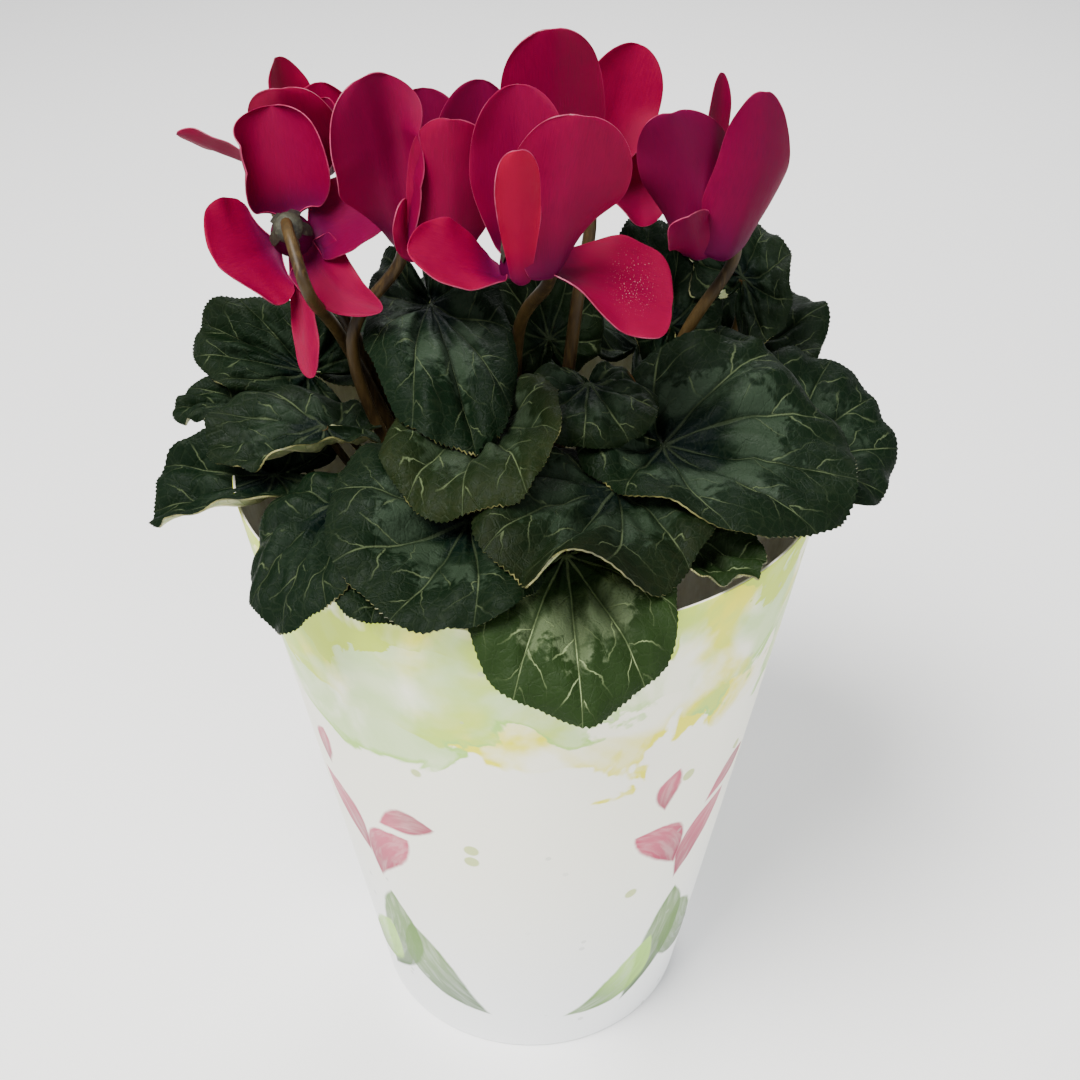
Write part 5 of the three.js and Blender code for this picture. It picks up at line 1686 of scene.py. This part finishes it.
def make_sepal(index):
    """A pointed scale from the calyx down along the tube, in the bloom's upright frame."""
    piece = primitive(bpy.ops.mesh.primitive_grid_add, x_subdivisions=6, y_subdivisions=10, size=2)
    middle = 2 * math.pi * index / SEPALS
    for corner in piece.data.vertices:
        far = (corner.co.y + 1) / 2
        half = SEPAL_WIDTH / 2 * (1 - far ** 1.6) * (0.75 + 0.5 * far)
        radius = 3.6 + 2.2 * math.sin(min(1, far * 1.3) * math.pi / 2) + 0.25 * far
        turn = middle + corner.co.x * half / radius
        high = SEPAL_START - SEPAL_LENGTH * far
        corner.co = Vector((radius * math.cos(turn), radius * math.sin(turn), high)) * MM
    edit(piece)
    bpy.ops.mesh.remove_doubles(threshold=0.002 * MM)
    bpy.ops.mesh.normals_make_consistent(inside=False)
    leave_edit()
    thicken(piece, SEPAL_THICKNESS * MM, offset=0)
    smooth(piece, 50)
    return piece


print("sepals on a calyx:", SEPALS)

# %% [markdown]
# ## Stalk
# A flower stalk rises from the tuber, passes between the leaves and hooks over into the calyx. A curve
# through its few known places, with the centripetal rule, makes no loops where two of them are close.

# %% Stalk
STALK_RADIUS = 2
STALK_TIP_RADIUS = 1.5
STALK_LEAN_HEIGHT = 0.3
STALK_LEAN_REACH = 0.2
STALK_PAST_TUBE = 2.3
STALK_STEPS = 14


def catmull(points, steps):
    """A centripetal curve through points, with the same number of steps between each two."""
    way = [points[0] * 2 - points[1], *points, points[-1] * 2 - points[-2]]
    line = [points[0]]
    for p0, p1, p2, p3 in zip(way, way[1:], way[2:], way[3:]):
        gaps = [max(1e-4, (b - a).length ** 0.5) for a, b in ((p0, p1), (p1, p2), (p2, p3))]
        t1 = ((p1 - p0) / gaps[0] - (p2 - p0) / (gaps[0] + gaps[1]) + (p2 - p1) / gaps[1]) * gaps[1]
        t2 = ((p2 - p1) / gaps[1] - (p3 - p1) / (gaps[1] + gaps[2]) + (p3 - p2) / gaps[2]) * gaps[1]
        for i in range(1, steps + 1):
            t = i / steps
            line.append(p1 + t1 * t + (-3 * p1 + 3 * p2 - 2 * t1 - t2) * t ** 2
                        + (2 * p1 - 2 * p2 + t1 + t2) * t ** 3)
    return line


def make_stalk(one):
    axis, right, back = bloom_frame(one)
    turn = math.radians(one["stalk_side"])
    side = right * math.cos(turn) + back * math.sin(turn)
    foot = foot_of("stem_" + one["name"])
    start = foot + Vector((0, 0, HOLE_DEPTH))
    low = start.lerp(one["via"], STALK_LEAN_REACH)
    low.z = start.z + STALK_LEAN_HEIGHT * (one["via"].z - start.z)
    hook = [one["mouth"] + side * out + axis * high for out, high in one["hook"]]
    end = one["mouth"] + axis * (TUBE_LENGTH + STALK_PAST_TUBE)
    line = [foot, *catmull([start, low, one["via"], *hook, end], STALK_STEPS)]
    count = len(line)
    radii = [STALK_RADIUS + (STALK_TIP_RADIUS - STALK_RADIUS) * k / (count - 1) for k in range(count)]
    return rod("stalk", line, radii)

# %% [markdown]
# ## Making the blooms
# A bloom has two pieces, because its petals and its stalk differ in colour: the corolla, with its
# tube and petals, and the stalk with the calyx.

# %% Blooms
bloom_faces = 0
for number, one in enumerate(BLOOMS):
    parts = [make_petal(one, row, 10 * number + i) for i, row in enumerate(one["petals"])]
    tube = set_on_axis(spun("tube", TUBE_PROFILE, 40), one)
    # The tube, hidden inside the bloom, gets an even painted shade.
    add_numbers(tube, far=0, beside=3, shade=0.3)
    coat(tube, PETAL_SKIN)
    smooth(tube, 50)
    corolla = join([*parts, tube], "petals_" + one["name"])
    dress(corolla, corolla.name, "petal", "corolla_" + one["name"])
    cup = spun("cup", CALYX_PROFILE, 32)
    smooth(cup, 50)
    scales = [make_sepal(index) for index in range(SEPALS)]
    calyx = set_on_axis(join([cup, *scales], "calyx"), one)
    coat(calyx, CALYX_SKIN)
    stalk = make_stalk(one)
    coat(stalk, STEM_SKIN)
    stalk = join([stalk, calyx], "stalk_" + one["name"])
    dress(stalk, stalk.name, "stem", "stem_" + one["name"])
    bloom_faces += len(corolla.data.polygons) + len(stalk.data.polygons)
bpy.data.objects.remove(petal_sheet)
print("bloom faces:", bloom_faces)

# %% [markdown]
# ## Floor and light
# A plain pale floor and three soft lights: a large key from the upper left front, a weaker fill from
# the right and a light from behind that lifts the rims of the petals. The world adds an even glow.

# %% Floor and light
FLOOR_WHITE = (0.93, 0.93, 0.93)
WORLD_COLOUR = (0.97, 0.98, 1.0)
WORLD_STRENGTH = 0.55
LIGHTS = [
    ("key", (-0.5, -0.55, 1.5), 0.8, 60, (1.0, 0.98, 0.95)),
    ("fill", (0.9, -1.3, 0.7), 1.2, 11, (0.95, 0.98, 1.0)),
    ("back", (0.2, 1.2, 1.2), 0.8, 15, (1.0, 1.0, 1.0)),
]

floor = primitive(bpy.ops.mesh.primitive_plane_add, size=12)
floor.name = "floor"
paper, shader = new_material("floor_paper", 0.9)
wire(shader, {"Base Color": FLOOR_WHITE})
coat(floor, paper)
floor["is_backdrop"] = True


def soft_light(name, place, size, power, colour):
    data = bpy.data.lights.new(name, "AREA")
    data.shape = "DISK"
    data.size = size
    data.energy = power
    data.color = colour
    lamp = bpy.data.objects.new(name, data)
    lamp.location = place
    aim = Vector((0, 0, 0.2)) - Vector(place)
    lamp.rotation_mode = "QUATERNION"
    lamp.rotation_quaternion = aim.to_track_quat("-Z", "Y")
    bpy.context.scene.collection.objects.link(lamp)


for row in LIGHTS:
    soft_light(*row)
world = bpy.data.worlds.new("studio")
world.use_nodes = True
world.node_tree.nodes["Background"].inputs[0].default_value = (*WORLD_COLOUR, 1)
world.node_tree.nodes["Background"].inputs[1].default_value = WORLD_STRENGTH
bpy.context.scene.world = world
print("lights:", [row[0] for row in LIGHTS])

# %% [markdown]
# ## Sizes
# The dressed model should keep the size of the frame; both boxes are gathered, and the dressed size
# is printed.

# %% Sizes
low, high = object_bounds()
sizes = {"cad": [list(cad_low), list(cad_high)], "visual": [list(low), list(high)]}
print("dressed size in mm:", [round(side / MM, 1) for side in high - low])
